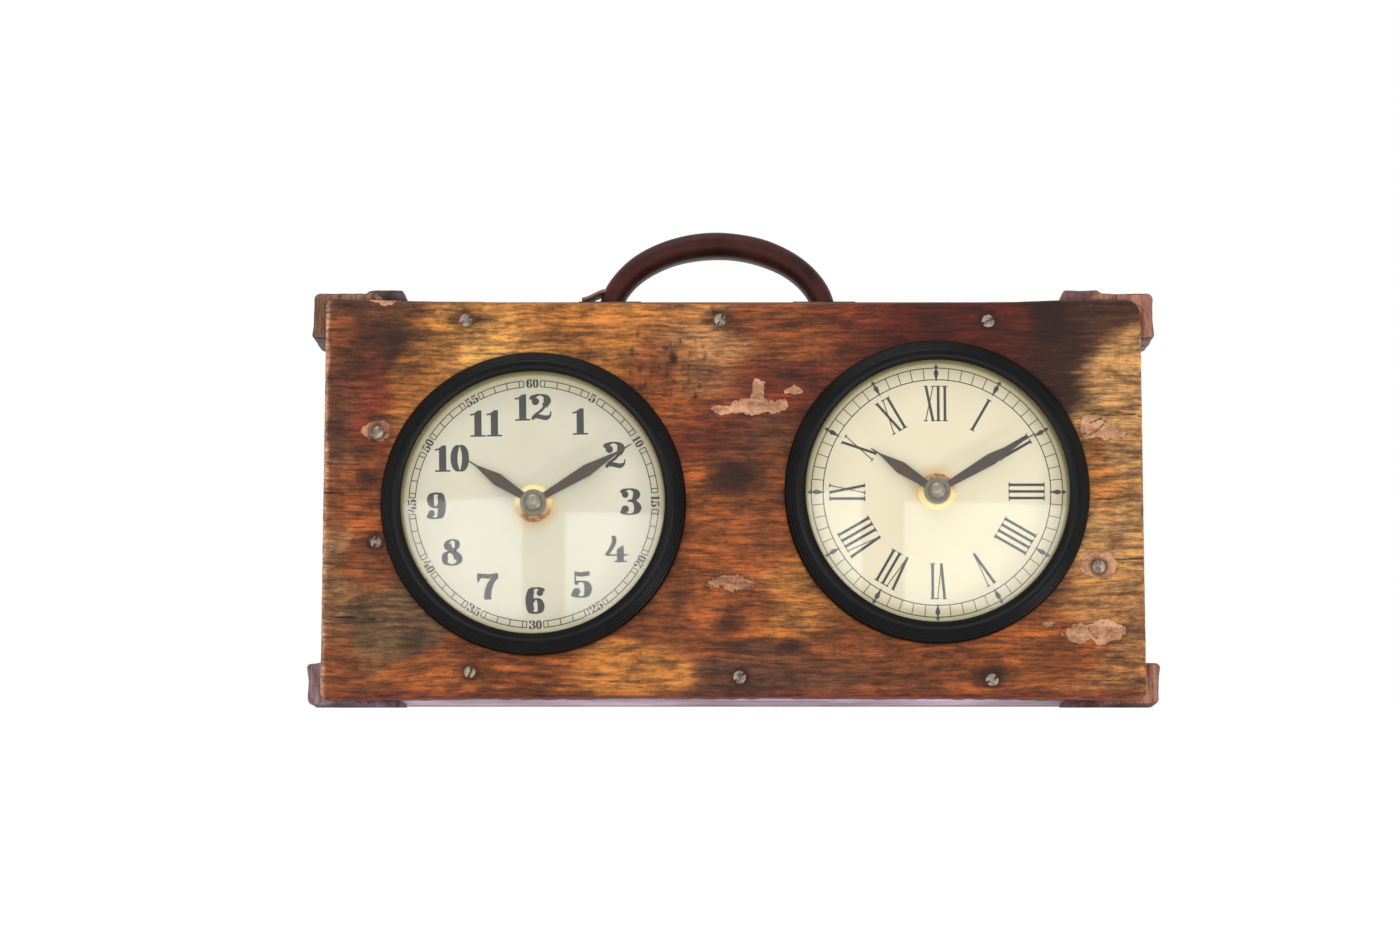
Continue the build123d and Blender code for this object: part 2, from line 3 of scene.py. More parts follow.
import bmesh
import bpy
import numpy as np
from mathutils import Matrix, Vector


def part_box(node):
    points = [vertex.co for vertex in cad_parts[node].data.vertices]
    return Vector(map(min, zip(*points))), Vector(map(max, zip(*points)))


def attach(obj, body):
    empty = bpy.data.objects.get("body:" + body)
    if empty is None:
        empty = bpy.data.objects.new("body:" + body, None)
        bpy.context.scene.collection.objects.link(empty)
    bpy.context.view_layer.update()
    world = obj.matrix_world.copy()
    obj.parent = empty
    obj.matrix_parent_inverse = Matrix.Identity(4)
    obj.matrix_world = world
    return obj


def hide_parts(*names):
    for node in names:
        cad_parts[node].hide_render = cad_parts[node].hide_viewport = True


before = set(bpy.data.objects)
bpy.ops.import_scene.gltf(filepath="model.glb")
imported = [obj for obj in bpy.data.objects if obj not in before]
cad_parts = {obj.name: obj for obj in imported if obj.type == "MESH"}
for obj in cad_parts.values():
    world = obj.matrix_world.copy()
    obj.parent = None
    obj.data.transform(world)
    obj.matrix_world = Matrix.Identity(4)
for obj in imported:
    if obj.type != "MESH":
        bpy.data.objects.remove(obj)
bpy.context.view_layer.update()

# Lengths are millimetres until they are multiplied by MM; what comes from the frame is in metres. Places on
# the plank are millimetres right of its middle and above its lower edge, as read off the photograph.
MM = 0.001

plank_low, plank_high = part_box("front_plank")
plank_front = plank_low.y
plank_back = plank_high.y
plank_bottom = plank_low.z
plank_half = plank_high.x
plank_height = plank_high.z - plank_low.z
box_low, box_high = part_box("back_panel")
clock_centres = {}
for clock in ("left", "right"):
    low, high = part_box(clock + "_bezel")
    clock_centres[clock] = ((low.x + high.x) / 2, plank_front, (low.z + high.z) / 2)


# Meshes


def closed_grid(rows, columns, wrap_rows=False, wrap_columns=False):
    """Quads of a grid of rows x columns points, row by row, joined round where asked."""
    r = np.arange(rows if wrap_rows else rows - 1)
    c = np.arange(columns if wrap_columns else columns - 1)
    r, c = [a.ravel() for a in np.meshgrid(r, c, indexing="ij")]
    r2 = (r + 1) % rows
    c2 = (c + 1) % columns
    return np.stack([r * columns + c, r * columns + c2, r2 * columns + c2, r2 * columns + c], axis=1)


def new_piece(name, points, faces, material, body="case", slot=None, replaces=(), smooth=True):
    """A mesh piece that rides on a body; faces may mix triangles, quads and longer loops."""
    mesh = bpy.data.meshes.new(name)
    mesh.from_pydata(np.asarray(points, float).tolist(), [], [list(map(int, f)) for f in faces])
    mesh.validate()
    mesh.polygons.foreach_set("use_smooth", np.full(len(mesh.polygons), smooth))
    piece = bpy.data.objects.new(name, mesh)
    bpy.context.scene.collection.objects.link(piece)
    piece.data.materials.append(material)
    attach(piece, body)
    if replaces:
        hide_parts(*replaces)
    return piece


def reshape(piece, change):
    """Runs a change on the piece's faces."""
    mesh = bmesh.new()
    mesh.from_mesh(piece.data)
    change(mesh)
    mesh.to_mesh(piece.data)
    mesh.free()


def cut_up(mesh):
    """Cuts the faces with more than four corners into triangles."""
    bmesh.ops.triangulate(mesh, faces=[f for f in mesh.faces if len(f.verts) > 4])


def face_outwards(piece):
    """Merges doubled points and turns every face outwards."""

    def change(mesh):
        bmesh.ops.remove_doubles(mesh, verts=mesh.verts, dist=1e-6)
        bmesh.ops.recalc_face_normals(mesh, faces=mesh.faces)

    reshape(piece, change)


def lathe(name, profile, centre, material, segments=192, **about):
    """A closed (radius, height) profile in mm turned about the line through centre along -Y."""
    profile = np.asarray(profile, float) * MM
    turn = np.linspace(0, 2 * math.pi, segments, endpoint=False)
    radius, height = profile[:, 0, None], profile[:, 1, None]
    x = centre[0] + radius * np.cos(turn)
    z = centre[2] + radius * np.sin(turn)
    y = centre[1] - height + 0 * turn
    points = np.stack([x, y, z], axis=-1).reshape(-1, 3)
    piece = new_piece(name, points, closed_grid(len(profile), segments, True, True), material, **about)
    face_outwards(piece)
    return piece


def waves(x, z, length, seed, count=6):
    """Smooth noise of about +-1: a sum of sines whose directions and phases come from the seed."""
    wave = np.random.default_rng(seed)
    total = 0
    for _ in range(count):
        direction = wave.uniform(0, 2 * math.pi)
        k = 2 * math.pi / (length * wave.uniform(0.6, 1.6))
        total = total + np.sin(k * (x * math.cos(direction) + z * math.sin(direction)) + wave.uniform(0, 6.3))
    return total / math.sqrt(count * 2)


# Finishes


class Finish:
    """A material whose colour, roughness and bump come from nodes on Object coordinates."""

    def __init__(self, name, roughness=0.5, metallic=0.0, **sockets):
        self.material = bpy.data.materials.new(name)
        self.material.use_nodes = True
        self.nodes = self.material.node_tree.nodes
        self.links = self.material.node_tree.links
        self.shader = self.nodes["Principled BSDF"]
        self.shader.inputs["Roughness"].default_value = roughness
        self.shader.inputs["Metallic"].default_value = metallic
        for socket, value in sockets.items():
            self.shader.inputs[socket.replace("_", " ")].default_value = value
        self.place = self.nodes.new("ShaderNodeTexCoord").outputs["Object"]

    def node(self, kind, inputs=(), out=0, **settings):
        node = self.nodes.new("ShaderNode" + kind)
        for key, value in settings.items():
            setattr(node, key, value)
        for key, value in dict(inputs).items():
            socket = node.inputs[key]
            if isinstance(value, bpy.types.NodeSocket):
                self.links.new(value, socket)
            else:
                socket.default_value = value
        return node.outputs[out]

    def stretch(self, scale, place=None):
        return self.node("Mapping", {"Vector": place or self.place, "Scale": scale})

    def noise(self, scale, detail=4.0, place=None, rough=0.55):
        inputs = {"Vector": place or self.place, "Scale": scale, "Detail": detail, "Roughness": rough}
        return self.node("TexNoise", inputs)

    def cells(self, scale, place=None, feature="F1"):
        return self.node("TexVoronoi", {"Vector": place or self.place, "Scale": scale}, feature=feature)

    def spread(self, value, low, high, to_low=0.0, to_high=1.0):
        inputs = {"Value": value, "From Min": low, "From Max": high, "To Min": to_low, "To Max": to_high}
        return self.node("MapRange", inputs, clamp=True)

    def sum(self, a, b, how="ADD"):
        return self.node("Math", {0: a, 1: b}, operation=how)

    def times(self, a, b):
        return self.sum(a, b, "MULTIPLY")

    def jitter(self, noise, size):
        """Noise about 0 instead of about a half, times a size."""
        return self.times(self.sum(noise, -0.5), size)

    def from_spindle(self, centre):
        """The place in a clock's face, as a vector from its spindle, and its distance from there."""
        local = self.node("VectorMath", {0: self.place, 1: centre}, operation="SUBTRACT")
        flat = self.node("VectorMath", {0: local, 1: (1, 0, 1)}, operation="MULTIPLY")
        return flat, self.node("VectorMath", {0: flat}, out=1, operation="LENGTH")

    def mix(self, amount, first, second, how="MIX"):
        node = self.nodes.new("ShaderNodeMix")
        node.data_type = "RGBA"
        node.blend_type = how
        for socket, value in ((node.inputs[0], amount), (node.inputs[6], first), (node.inputs[7], second)):
            if isinstance(value, bpy.types.NodeSocket):
                self.links.new(value, socket)
            elif isinstance(value, (int, float)):
                socket.default_value = value
            else:
                socket.default_value = colour(value)
        return node.outputs[2]

    def attribute(self, name, out="Color"):
        node = self.nodes.new("ShaderNodeAttribute")
        node.attribute_name = name
        return node.outputs[out]

    def paint(self, value):
        self.links.new(value, self.shader.inputs["Base Color"])

    def gloss(self, value):
        self.links.new(value, self.shader.inputs["Roughness"])

    def bump(self, height, depth_mm, strength=1.0):
        normal = self.node("Bump", {"Height": height, "Distance": depth_mm * MM, "Strength": strength})
        self.links.new(normal, self.shader.inputs["Normal"])


def linear(value):
    return value / 12.92 if value <= 0.04045 else ((value + 0.055) / 1.055) ** 2.4


def colour(red_green_blue):
    """A shader colour from 0 to 255 screen values."""
    return tuple(linear(v / 255) for v in red_green_blue) + (1.0,)


def worn_wood(name, light, mid, dark, along=(0.06, 1.0, 1.0), fine=900.0):
    """Rough board: long grain, darker growth lines and pores, drawn out along one axis."""
    wood = Finish(name, roughness=0.62)
    warp = wood.noise(9.0, 2.0)
    place = wood.node("VectorMath", {0: wood.place, 1: wood.stretch((0.02, 0.02, 0.02), warp)}, operation="ADD")
    drawn = wood.stretch(along, place)
    lines = wood.noise(fine * 0.33, 5.0, drawn, 0.65)
    fibres = wood.noise(fine, 3.0, drawn, 0.7)
    patches = wood.noise(22.0, 4.0)
    tone = wood.mix(wood.spread(lines, 0.36, 0.66), dark, mid)
    tone = wood.mix(wood.spread(patches, 0.42, 0.7), tone, light)
    tone = wood.mix(wood.spread(fibres, 0.30, 0.5, 0.55, 0.0), tone, dark)
    wood.paint(tone)
    wood.gloss(wood.spread(lines, 0.3, 0.7, 0.5, 0.72))
    wood.bump(wood.sum(lines, fibres), 0.35, 0.7)
    return wood.material


def plain_metal(name, base, spot, roughness, metallic=1.0, patch=180.0, amount=0.6, depth_mm=0.05):
    """Metal with uneven tarnish and a fine grain."""
    metal = Finish(name, roughness, metallic)
    blotches = metal.noise(patch, 5.0, None, 0.6)
    metal.paint(metal.mix(metal.spread(blotches, 0.42, 0.68, 0.0, amount), base, spot))
    metal.gloss(metal.spread(blotches, 0.3, 0.7, roughness * 0.8, min(1.0, roughness * 1.4)))
    metal.bump(metal.noise(patch * 8, 2.0), depth_mm, 0.4)
    return metal.material


def moulded(name, base, roughness=0.5, grain=1500.0, depth_mm=0.03):
    """Moulded plastic: one colour with a very slight drift and a spark-eroded grain."""
    plastic = Finish(name, roughness)
    drift = plastic.noise(60.0, 2.0)
    lighter = tuple(min(255, v + 10) for v in base)
    plastic.paint(plastic.mix(plastic.spread(drift, 0.3, 0.7), base, lighter))
    plastic.bump(plastic.noise(grain, 2.0), depth_mm, 0.5)
    return plastic.material


# Front plank: where each colour of the old board lies (x, z, half width, half height, colour)
soot_brown = (44, 27, 22)
dark_umber = (58, 37, 29)
umber = (82, 51, 36)
olive_brown = (92, 70, 50)
brown = (110, 61, 34)
orange_brown = (132, 72, 36)
ochre = (156, 100, 50)
golden = (200, 144, 82)
straw = (158, 118, 76)
maroon = (70, 26, 20)
red_brown = (98, 45, 29)
tan = (144, 104, 70)
plank_zones = [
    (-124, 129, 14, 5, umber),
    (-128, 120, 10, 8, brown),
    (-114, 117, 12, 6, soot_brown),
    (-131, 106, 6, 12, umber),
    (-120, 102, 10, 8, red_brown),
    (-98, 118, 9, 8, ochre),
    (-106, 103, 6, 10, ochre),
    (-80, 119, 16, 8, golden),
    (-60, 124, 18, 8, ochre),
    (-40, 118, 12, 8, ochre),
    (-25, 128, 12, 5, ochre),
    (-24, 112, 14, 10, brown),
    (-10, 116, 10, 10, tan),
    (-22, 97, 10, 7, orange_brown),
    (8, 128, 10, 6, brown),
    (18, 120, 10, 6, brown),
    (4, 108, 10, 6, red_brown),
    (26, 98, 8, 8, red_brown),
    (-8, 90, 12, 6, red_brown),
    (10, 88, 10, 6, umber),
    (14, 76, 8, 8, brown),
    (-12, 66, 10, 8, orange_brown),
    (8, 63, 10, 6, brown),
    (2, 55, 16, 6, orange_brown),
    (-6, 46, 14, 5, orange_brown),
    (0, 30, 12, 6, orange_brown),
    (24, 34, 10, 10, ochre),
    (-24, 30, 10, 8, brown),
    (34, 18, 14, 7, brown),
    (24, 9, 16, 5, umber),
    (52, 9, 16, 5, brown),
    (42, 126, 10, 7, red_brown),
    (60, 124, 12, 8, maroon),
    (92, 123, 10, 10, maroon),
    (106, 124, 9, 12, soot_brown),
    (120, 127, 8, 7, dark_umber),
    (128, 108, 7, 9, straw),
    (130, 80, 5, 8, straw),
    (120, 72, 10, 6, ochre),
    (127, 64, 8, 6, straw),
    (74, 17, 14, 5, orange_brown),
    (-126, 62, 8, 7, orange_brown),
    (-131, 40, 4, 16, tan),
    (-120, 44, 7, 8, brown),
    (-117, 28, 8, 10, olive_brown),
    (-130, 14, 6, 10, brown),
    (-92, 9, 14, 4, orange_brown),
    (-64, 10, 14, 5, orange_brown),
    (-40, 10, 12, 5, ochre),
]
# Dark marks: iron stains round screws, smudges and burnt spots (x, z, half width, half height, strength)
plank_stains = [
    (-89.0, 126.9, 9, 4.5, 0.75),
    (-118, 124, 16, 5, 0.5),
    (-4.2, 127.4, 7, 5, 0.8),
    (84.8, 126.8, 6, 4.5, 0.35),
    (-119, 90, 6.5, 5.5, 0.25),
    (-120, 73.5, 6, 5, 0.75),
    (-117.4, 52.6, 6, 4, 0.7),
    (0.3, 73.7, 12, 7.5, 1.0),
    (-1.4, 24.5, 8, 6, 0.7),
    (-1.4, 17.5, 9, 5, 0.5),
    (19.9, 17.6, 7, 3.5, 0.75),
    (-86.4, 9.5, 6, 4.5, 0.55),
    (2.1, 8.2, 5.5, 4.5, 0.55),
    (84.5, 8.6, 10, 6.5, 0.8),
    (108, 13, 16, 7, 0.5),
    (105, 126, 8, 12, 0.5),
    (100, 110, 6, 6, 0.3),
    (-128, 112, 8, 6, 0.35),
    (-106, 20, 6, 12, 0.35),
    (-131, 60, 4, 60, 0.35),
    (120, 96, 12, 4, 0.35),
    (30, 90, 8, 6, 0.3),
    (60, 7, 30, 4, 0.3),
    (-20, 113.5, 2.4, 3.6, 0.9),
]
# Pale torn places and old filler (x, z, half width, half height, strength)
plank_patches = [
    (-118.5, 89.4, 5.4, 3.5, 1),
    (7.0, 97.6, 8.6, 3.0, 1),
    (-1.0, 96.4, 6.6, 1.7, 1),
    (8.4, 102.2, 2.4, 5.2, 1),
    (14.0, 97.4, 4.6, 2.4, 1),
    (19.9, 102.7, 3.2, 1.5, 0.9),
    (-0.7, 38.7, 10.0, 3.0, 0.35),
    (120.9, 44.6, 7.0, 4.6, 1),
    (113.5, 22.0, 5.6, 3.6, 1),
    (122.0, 22.6, 7.2, 4.2, 1),
    (103.2, 25.2, 2.6, 1.2, 0.7),
    (119.4, 90.8, 5.6, 4.6, 0.9),
    (125.5, 88.4, 5.0, 2.2, 0.7),
    (-116.5, 133.4, 6.0, 1.6, 1),
]
# Small near-upright flecks between the clocks, strewn over an ellipse (middle, half width, half height)
fleck_place = (-23.0, 110.5, 15.0, 14.0)
fleck_count = 42
# Cracks as chains of points
plank_cracks = [
    [(119, 95.2), (125, 94.2), (130, 94.8), (136, 94.4)],
    [(114.5, 89.0), (117.5, 87.6), (121, 89.8), (123, 92)],
    [(118.2, 92), (121.5, 93.4), (124, 92.2)],
    [(-136, 68.5), (-128, 68.9), (-121, 68.6)],
    [(-136, 27.5), (-126, 27.1), (-118, 26.8)],
    [(118, 67), (122, 66.4), (126, 66.8)],
    [(116.5, 24.2), (118.0, 21.5), (119.5, 20.3)],
    [(126, 46.5), (130, 47.0), (136, 46.4)],
    [(116, 62), (117.2, 60.6), (118.4, 61.8)],
]
# Screws in sight (x, z, degrees that the slot is turned)
screw_places = [
    (-89.0, 126.6, 35),
    (-4.2, 126.95, 60),
    (84.8, 126.35, 25),
    (-118.1, 88.8, 50),
    (-118.1, 52.2, 75),
    (120.5, 44.1, 80),
    (-86.4, 9.2, 70),
    (2.1, 7.6, 40),
    (85.0, 6.8, 30),
]
# This one lies under the filler of its hole.
covered_screw = (120.5, 90.0, 10)


def plank_tint(x, z):
    """Each zone weighs exp(-(dx/a)^2 - (dz/b)^2) at a place bent by slow waves; the tint is the mean.

    The lowest 4 mm wear to a dark red band, and a pale painted highlight runs down the left edge."""
    bent_x = x + 3.0 * waves(x, z * 2, 26, 1) + 1.2 * waves(x, z * 3, 9, 5)
    bent_z = z + 1.8 * waves(x, z * 2, 22, 2) + 0.6 * waves(x, z * 3, 8, 6)
    total = np.zeros(x.shape + (3,))
    weight = np.full(x.shape, 1e-9)
    for cx, cz, wide, high, shade in plank_zones:
        near = np.exp(-(((bent_x - cx) / wide) ** 2) - ((bent_z - cz) / high) ** 2) ** 1.3
        near = near + 1e-5 / (1 + ((x - cx) ** 2 + (z - cz) ** 2) / 200) ** 2
        total += near[..., None] * np.array(colour(shade)[:3])
        weight += near
    tint = total / weight[..., None]
    worn_foot = np.clip((4.0 + waves(x, z, 20, 7) - z) / 2.0, 0, 1)[..., None] * 0.75
    tint = tint * (1 - worn_foot) + np.array(colour((96, 42, 32))[:3]) * worn_foot
    # The pale line down the left edge is a painted highlight where light catches that edge.
    left_edge_highlight = np.clip(-x - 133.9 + 0.4 * waves(x, z, 12, 8), 0, 1)[..., None] * 0.6
    return tint * (1 - left_edge_highlight) + np.array(colour((206, 160, 140))[:3]) * left_edge_highlight


def ellipse_field(x, z, places):
    """The strongest of strength * (1 - (dx/a)^2 - (dz/b)^2) over the places, bent by small waves."""
    bent_x = x + 0.7 * waves(x, z, 7, 3) + 0.35 * waves(x, z, 2.6, 31)
    bent_z = z + 0.6 * waves(x, z, 5, 4) + 0.35 * waves(x, z, 2.2, 32)
    field = np.full(x.shape, -1.0)
    for cx, cz, wide, high, strength in places:
        inside = 1 - ((bent_x - cx) / wide) ** 2 - ((bent_z - cz) / high) ** 2
        field = np.maximum(field, np.minimum(inside, 1) * np.where(inside > 0, strength, 1))
    return field


def crack_field(x, z):
    """1 on a crack's line, falling to 0 at under half a millimetre from it."""
    field = np.zeros(x.shape)
    shift = 0.25 * waves(x, z, 6, 9)
    for chain in plank_cracks:
        for (ax, az), (bx, bz) in zip(chain[:-1], chain[1:]):
            length2 = (bx - ax) ** 2 + (bz - az) ** 2
            t = np.clip(((x - ax) * (bx - ax) + (z - az) * (bz - az)) / length2, 0, 1)
            away = np.hypot(x - ax - t * (bx - ax), z + shift - az - t * (bz - az))
            field = np.maximum(field, 1 - away / 0.45)
    return np.clip(field, 0, 1)


def fleck_field(x, z):
    """Narrow bell-shaped spots, each exp(-(dx/a)^2 - (dz/b)^2), strewn over an ellipse."""
    strewn = np.random.default_rng(17)
    field = np.zeros(x.shape)
    cx, cz, wide, high = fleck_place
    for _ in range(fleck_count):
        turn, out = strewn.uniform(0, 2 * math.pi), math.sqrt(strewn.uniform(0, 1))
        px, pz = cx + wide * out * math.cos(turn), cz + high * out * math.sin(turn)
        thin, long, lean = strewn.uniform(0.35, 0.8), strewn.uniform(0.7, 1.9), strewn.uniform(-0.3, 0.3)
        dx, dz = x - px - lean * (z - pz), z - pz
        field = np.maximum(field, strewn.uniform(0.4, 0.9) * np.exp(-((dx / thin) ** 2) - (dz / long) ** 2))
    return field


def plank_relief(x, z):
    """Depth behind the flat face in mm: slow waves, sunk patches, dished screws and cracks."""
    depth = 0.10 + 0.08 * waves(x, z, 45, 11) + 0.05 * waves(x * 0.3, z, 9, 12)
    torn = np.clip(ellipse_field(x, z, plank_patches) * 6, 0, 1)
    depth = depth + torn * (0.22 + 0.12 * waves(x, z, 4, 13))
    for cx, cz, _ in screw_places:
        away = np.hypot(x - cx, z - cz)
        depth = depth + 0.8 * np.exp(-((away / 2.9) ** 4))
    return depth + 0.45 * crack_field(x, z)


def plank_finish():
    """Old board: drawn-out grain over the tint, black in its cracks and stains, with painted shade round its
    screws and a painted shadow round each torn place, pale where it is torn.
    """
    wood = Finish("old_plank", roughness=0.5, Specular_IOR_Level=0.12)
    tint = wood.attribute("tint")
    marks = wood.node("SeparateColor", {"Color": wood.attribute("marks")})
    stains_and_screw_shade, patch, crack = marks, marks.node.outputs[1], marks.node.outputs[2]
    swirl = wood.noise(34.0, 2.0, wood.stretch((0.5, 1, 1)))
    bend = wood.node("CombineXYZ", {"Z": wood.jitter(swirl, 0.007)})
    place = wood.node("VectorMath", {0: wood.place, 1: bend}, operation="ADD")
    bands = wood.noise(230.0, 5.0, wood.stretch((0.09, 1, 1), place), 0.65)
    lines = wood.noise(800.0, 6.0, wood.stretch((0.09, 1, 1), place), 0.75)
    dashes = wood.noise(1900.0, 3.0, wood.stretch((0.13, 1, 1), place), 0.6)
    blotch = wood.noise(75.0, 7.0, wood.stretch((0.55, 1, 1), place), 0.75)
    mottle = wood.noise(240.0, 6.0, wood.stretch((0.45, 1, 1), place), 0.75)
    speck = wood.noise(900.0, 4.0, None, 0.65)
    tone = wood.mix(wood.spread(bands, 0.40, 0.62, 0.0, 0.6), tint, (236, 226, 204), "OVERLAY")
    tone = wood.mix(wood.spread(blotch, 0.34, 0.54, 0.62, 0.0), tone, (38, 23, 18))
    tone = wood.mix(wood.spread(mottle, 0.36, 0.52, 0.55, 0.0), tone, (44, 26, 19))
    tone = wood.mix(wood.spread(mottle, 0.50, 0.66, 0.0, 0.5), tone, (234, 222, 196), "OVERLAY")
    tone = wood.mix(wood.spread(lines, 0.38, 0.53, 0.65, 0.0), tone, (34, 20, 15))
    tone = wood.mix(wood.spread(lines, 0.50, 0.66, 0.0, 0.7), tone, (240, 230, 208), "OVERLAY")
    tone = wood.mix(wood.spread(dashes, 0.34, 0.46, 0.5, 0.0), tone, (24, 13, 10))
    ragged = wood.sum(patch, wood.jitter(speck, 0.30))
    bare = wood.spread(ragged, 0.06, 0.09)
    rim = wood.sum(wood.spread(ragged, -0.03, 0.05), bare, "SUBTRACT")
    # A dark ring round each torn place is a painted shadow of its sunk rim.
    tone = wood.mix(wood.times(rim, 0.45), tone, (44, 24, 18))
    bare_tone = wood.mix(wood.spread(mottle, 0.36, 0.62), (112, 70, 50), (190, 142, 108))
    bare_tone = wood.mix(wood.spread(speck, 0.30, 0.50, 0.6, 0.0), bare_tone, (96, 58, 42))
    tone = wood.mix(bare, tone, bare_tone)
    # The stains, and the painted shade round the screws, darken the tone here.
    dark_stains_and_screw_shade = wood.times(stains_and_screw_shade, wood.spread(blotch, 0.3, 0.7, 0.75, 1.2))
    tone = wood.mix(wood.spread(dark_stains_and_screw_shade, 0.05, 0.8, 0.0, 0.9), tone, (34, 21, 18))
    tone = wood.mix(wood.spread(crack, 0.2, 0.8, 0.0, 0.9), tone, (14, 9, 8))
    wood.paint(tone)
    wood.gloss(wood.sum(wood.spread(lines, 0.3, 0.7, 0.42, 0.60), wood.times(bare, 0.2)))
    height = wood.sum(wood.times(lines, 0.9), wood.times(dashes, 0.5))
    wood.bump(wood.sum(height, wood.times(wood.times(bare, mottle), 0.8)), 0.25, 0.6)
    return wood.material


def ring_of(index):
    """The outline of a block of grid points, in order round it."""
    return np.concatenate([index[0, :-1], index[:-1, -1], index[-1, :0:-1], index[:0:-1, 0]])


def make_plank():
    """The front is a grid whose four edges follow the worn outline; rings carry it round to the back.

    A square grid point (a, b) goes to x = a * half width and z between the bottom and top curves, with each
    corner cell pressed into a quarter disc; the rings step outwards and back along a quarter circle. A block
    of cells is left out at each spindle and walled down to the square pocket in the back."""
    columns, rows = 420, 210
    roll = 1.5
    half = plank_half / MM
    high = plank_height / MM
    thick = (plank_back - plank_front) / MM
    pocket_half, pocket_depth, bore_half = 28.6, 4.0, 4.1
    a, b = np.meshgrid(np.linspace(-1, 1, columns), np.linspace(-1, 1, rows))
    x = a * (half - roll)
    bottom = 0.8 * (1 - a**2) + 0.12 * (1 + waves(x, 0 * x, 30, 21))
    top = high - 1.6 * (1 - a**2) - 0.12 * (1 + waves(x, 0 * x, 26, 22))
    z = (bottom + top) / 2 + b * ((top - bottom) / 2 - roll)
    for side, level, size in ((-1, 1, 1.2), (1, 1, 4.0), (-1, -1, 1.2), (1, -1, 1.6)):
        d = np.clip((side * x - (half - roll - size)) / size, 0, 1)
        e = np.clip((level * (z - high / 2) - (high / 2 - roll - size)) / size, 0, 1)
        x = x + side * size * (d * np.sqrt(1 - e**2 / 2) - d)
        z = z + level * size * (e * np.sqrt(1 - d**2 / 2) - e)
    front = np.stack([x, plank_relief(x, z), z], axis=-1).reshape(-1, 3)
    index = np.arange(rows * columns).reshape(rows, columns)
    keep = np.ones((rows - 1, columns - 1), bool)
    bores = []
    for centre in clock_centres.values():
        cx, cz = centre[0] / MM, (centre[2] - plank_bottom) / MM
        inside = (abs(x - cx) < bore_half + 0.4) & (abs(z - cz) < bore_half + 0.4)
        r, c = np.where(inside)
        keep[r.min() : r.max(), c.min() : c.max()] = False
        bores.append((cx, cz, ring_of(index[r.min() : r.max() + 1, c.min() : c.max() + 1])))
    faces = closed_grid(rows, columns)[keep.ravel()].tolist()
    loop = front[ring_of(index)]
    along = np.roll(loop, -1, 0) - np.roll(loop, 1, 0)
    outward = np.stack([along[:, 2], 0 * along[:, 0], -along[:, 0]], axis=1)
    outward /= np.linalg.norm(outward, axis=1, keepdims=True)
    wear = 1 + 0.18 * waves(loop[:, 0], loop[:, 2], 9, 24)
    rings = []
    for angle in np.radians([20, 40, 60, 78, 90]):
        ring = loop + outward * roll * math.sin(angle)
        ring[:, 1] = loop[:, 1] + roll * (1 - math.cos(angle)) * wear
        rings.append(ring)
    for depth in (0.35, 0.6, 0.85, 1.0):
        ring = rings[4] - outward * 0.12 * (1 + waves(loop[:, 0], loop[:, 2] + 30 * depth, 6, 25))[:, None]
        ring[:, 1] = rings[4][:, 1] * (1 - depth) + thick * depth
        rings.append(ring)
    rings = np.array(rings)
    rings[..., 0] = np.clip(rings[..., 0], -half, half)
    rings[..., 2] = np.clip(rings[..., 2], 0, high)
    count = len(loop)
    hoops = np.concatenate([[ring_of(index)], len(front) + np.arange(9 * count).reshape(9, count)])
    inner, outer = hoops[:-1], hoops[1:]
    strips = np.stack([inner, np.roll(inner, -1, 1), np.roll(outer, -1, 1), outer], axis=-1).reshape(-1, 4)
    faces += strips[:, ::-1].tolist()
    points = np.concatenate([front, rings.reshape(-1, 3)])
    back = hoops[-1]
    middle = np.argsort(abs(points[back, 2] - high / 2) - 1e-3 * abs(points[back, 0]))[:2]
    right_mid, left_mid = sorted(middle, key=lambda k: -points[back[k], 0])
    lower_rim = np.roll(back, -left_mid)[: (right_mid - left_mid) % count + 1].tolist()
    upper_rim = np.roll(back, -right_mid)[: (left_mid - right_mid) % count + 1].tolist()
    upper_holes, lower_holes = [], []
    for cx, cz, bore in bores:
        p = pocket_half
        corners = [(-p, 0), (-p, p), (p, p), (p, 0), (p, -p), (-p, -p)]
        square = [(cx + dx, thick, cz + dz) for dx, dz in corners]
        floor = [(cx + dx, thick - pocket_depth, cz + dz) for dx, dz in corners]
        sunk = points[bore]
        sunk[:, 1] = thick - pocket_depth
        base = len(points)
        points = np.concatenate([points, square, floor, sunk])
        mouth, bed, rim = base + np.arange(6), base + 6 + np.arange(6), base + 12 + np.arange(len(bore))
        faces += np.stack([mouth, np.roll(mouth, -1), np.roll(bed, -1), bed], axis=1).tolist()
        faces += np.stack([bore, np.roll(bore, -1), np.roll(rim, -1), rim], axis=1).tolist()
        west = int(np.argmin(sunk[:, 0] + 0.01 * abs(sunk[:, 2] - cz)))
        east = int(np.argmax(sunk[:, 0] - 0.01 * abs(sunk[:, 2] - cz)))
        under = np.roll(rim, -west)[: (east - west) % len(rim) + 1]
        over = np.roll(rim, -east)[: (west - east) % len(rim) + 1]
        faces.append([bed[0], bed[1], bed[2], bed[3]] + over.tolist())
        faces.append([bed[3], bed[4], bed[5], bed[0]] + under.tolist())
        upper_holes.append([mouth[0], mouth[1], mouth[2], mouth[3]])
        lower_holes.append([mouth[0], mouth[5], mouth[4], mouth[3]])
    faces.append(upper_rim + upper_holes[0] + upper_holes[1])
    faces.append(lower_rim + lower_holes[1][::-1] + lower_holes[0][::-1])
    tint = plank_tint(points[:, 0], points[:, 2])
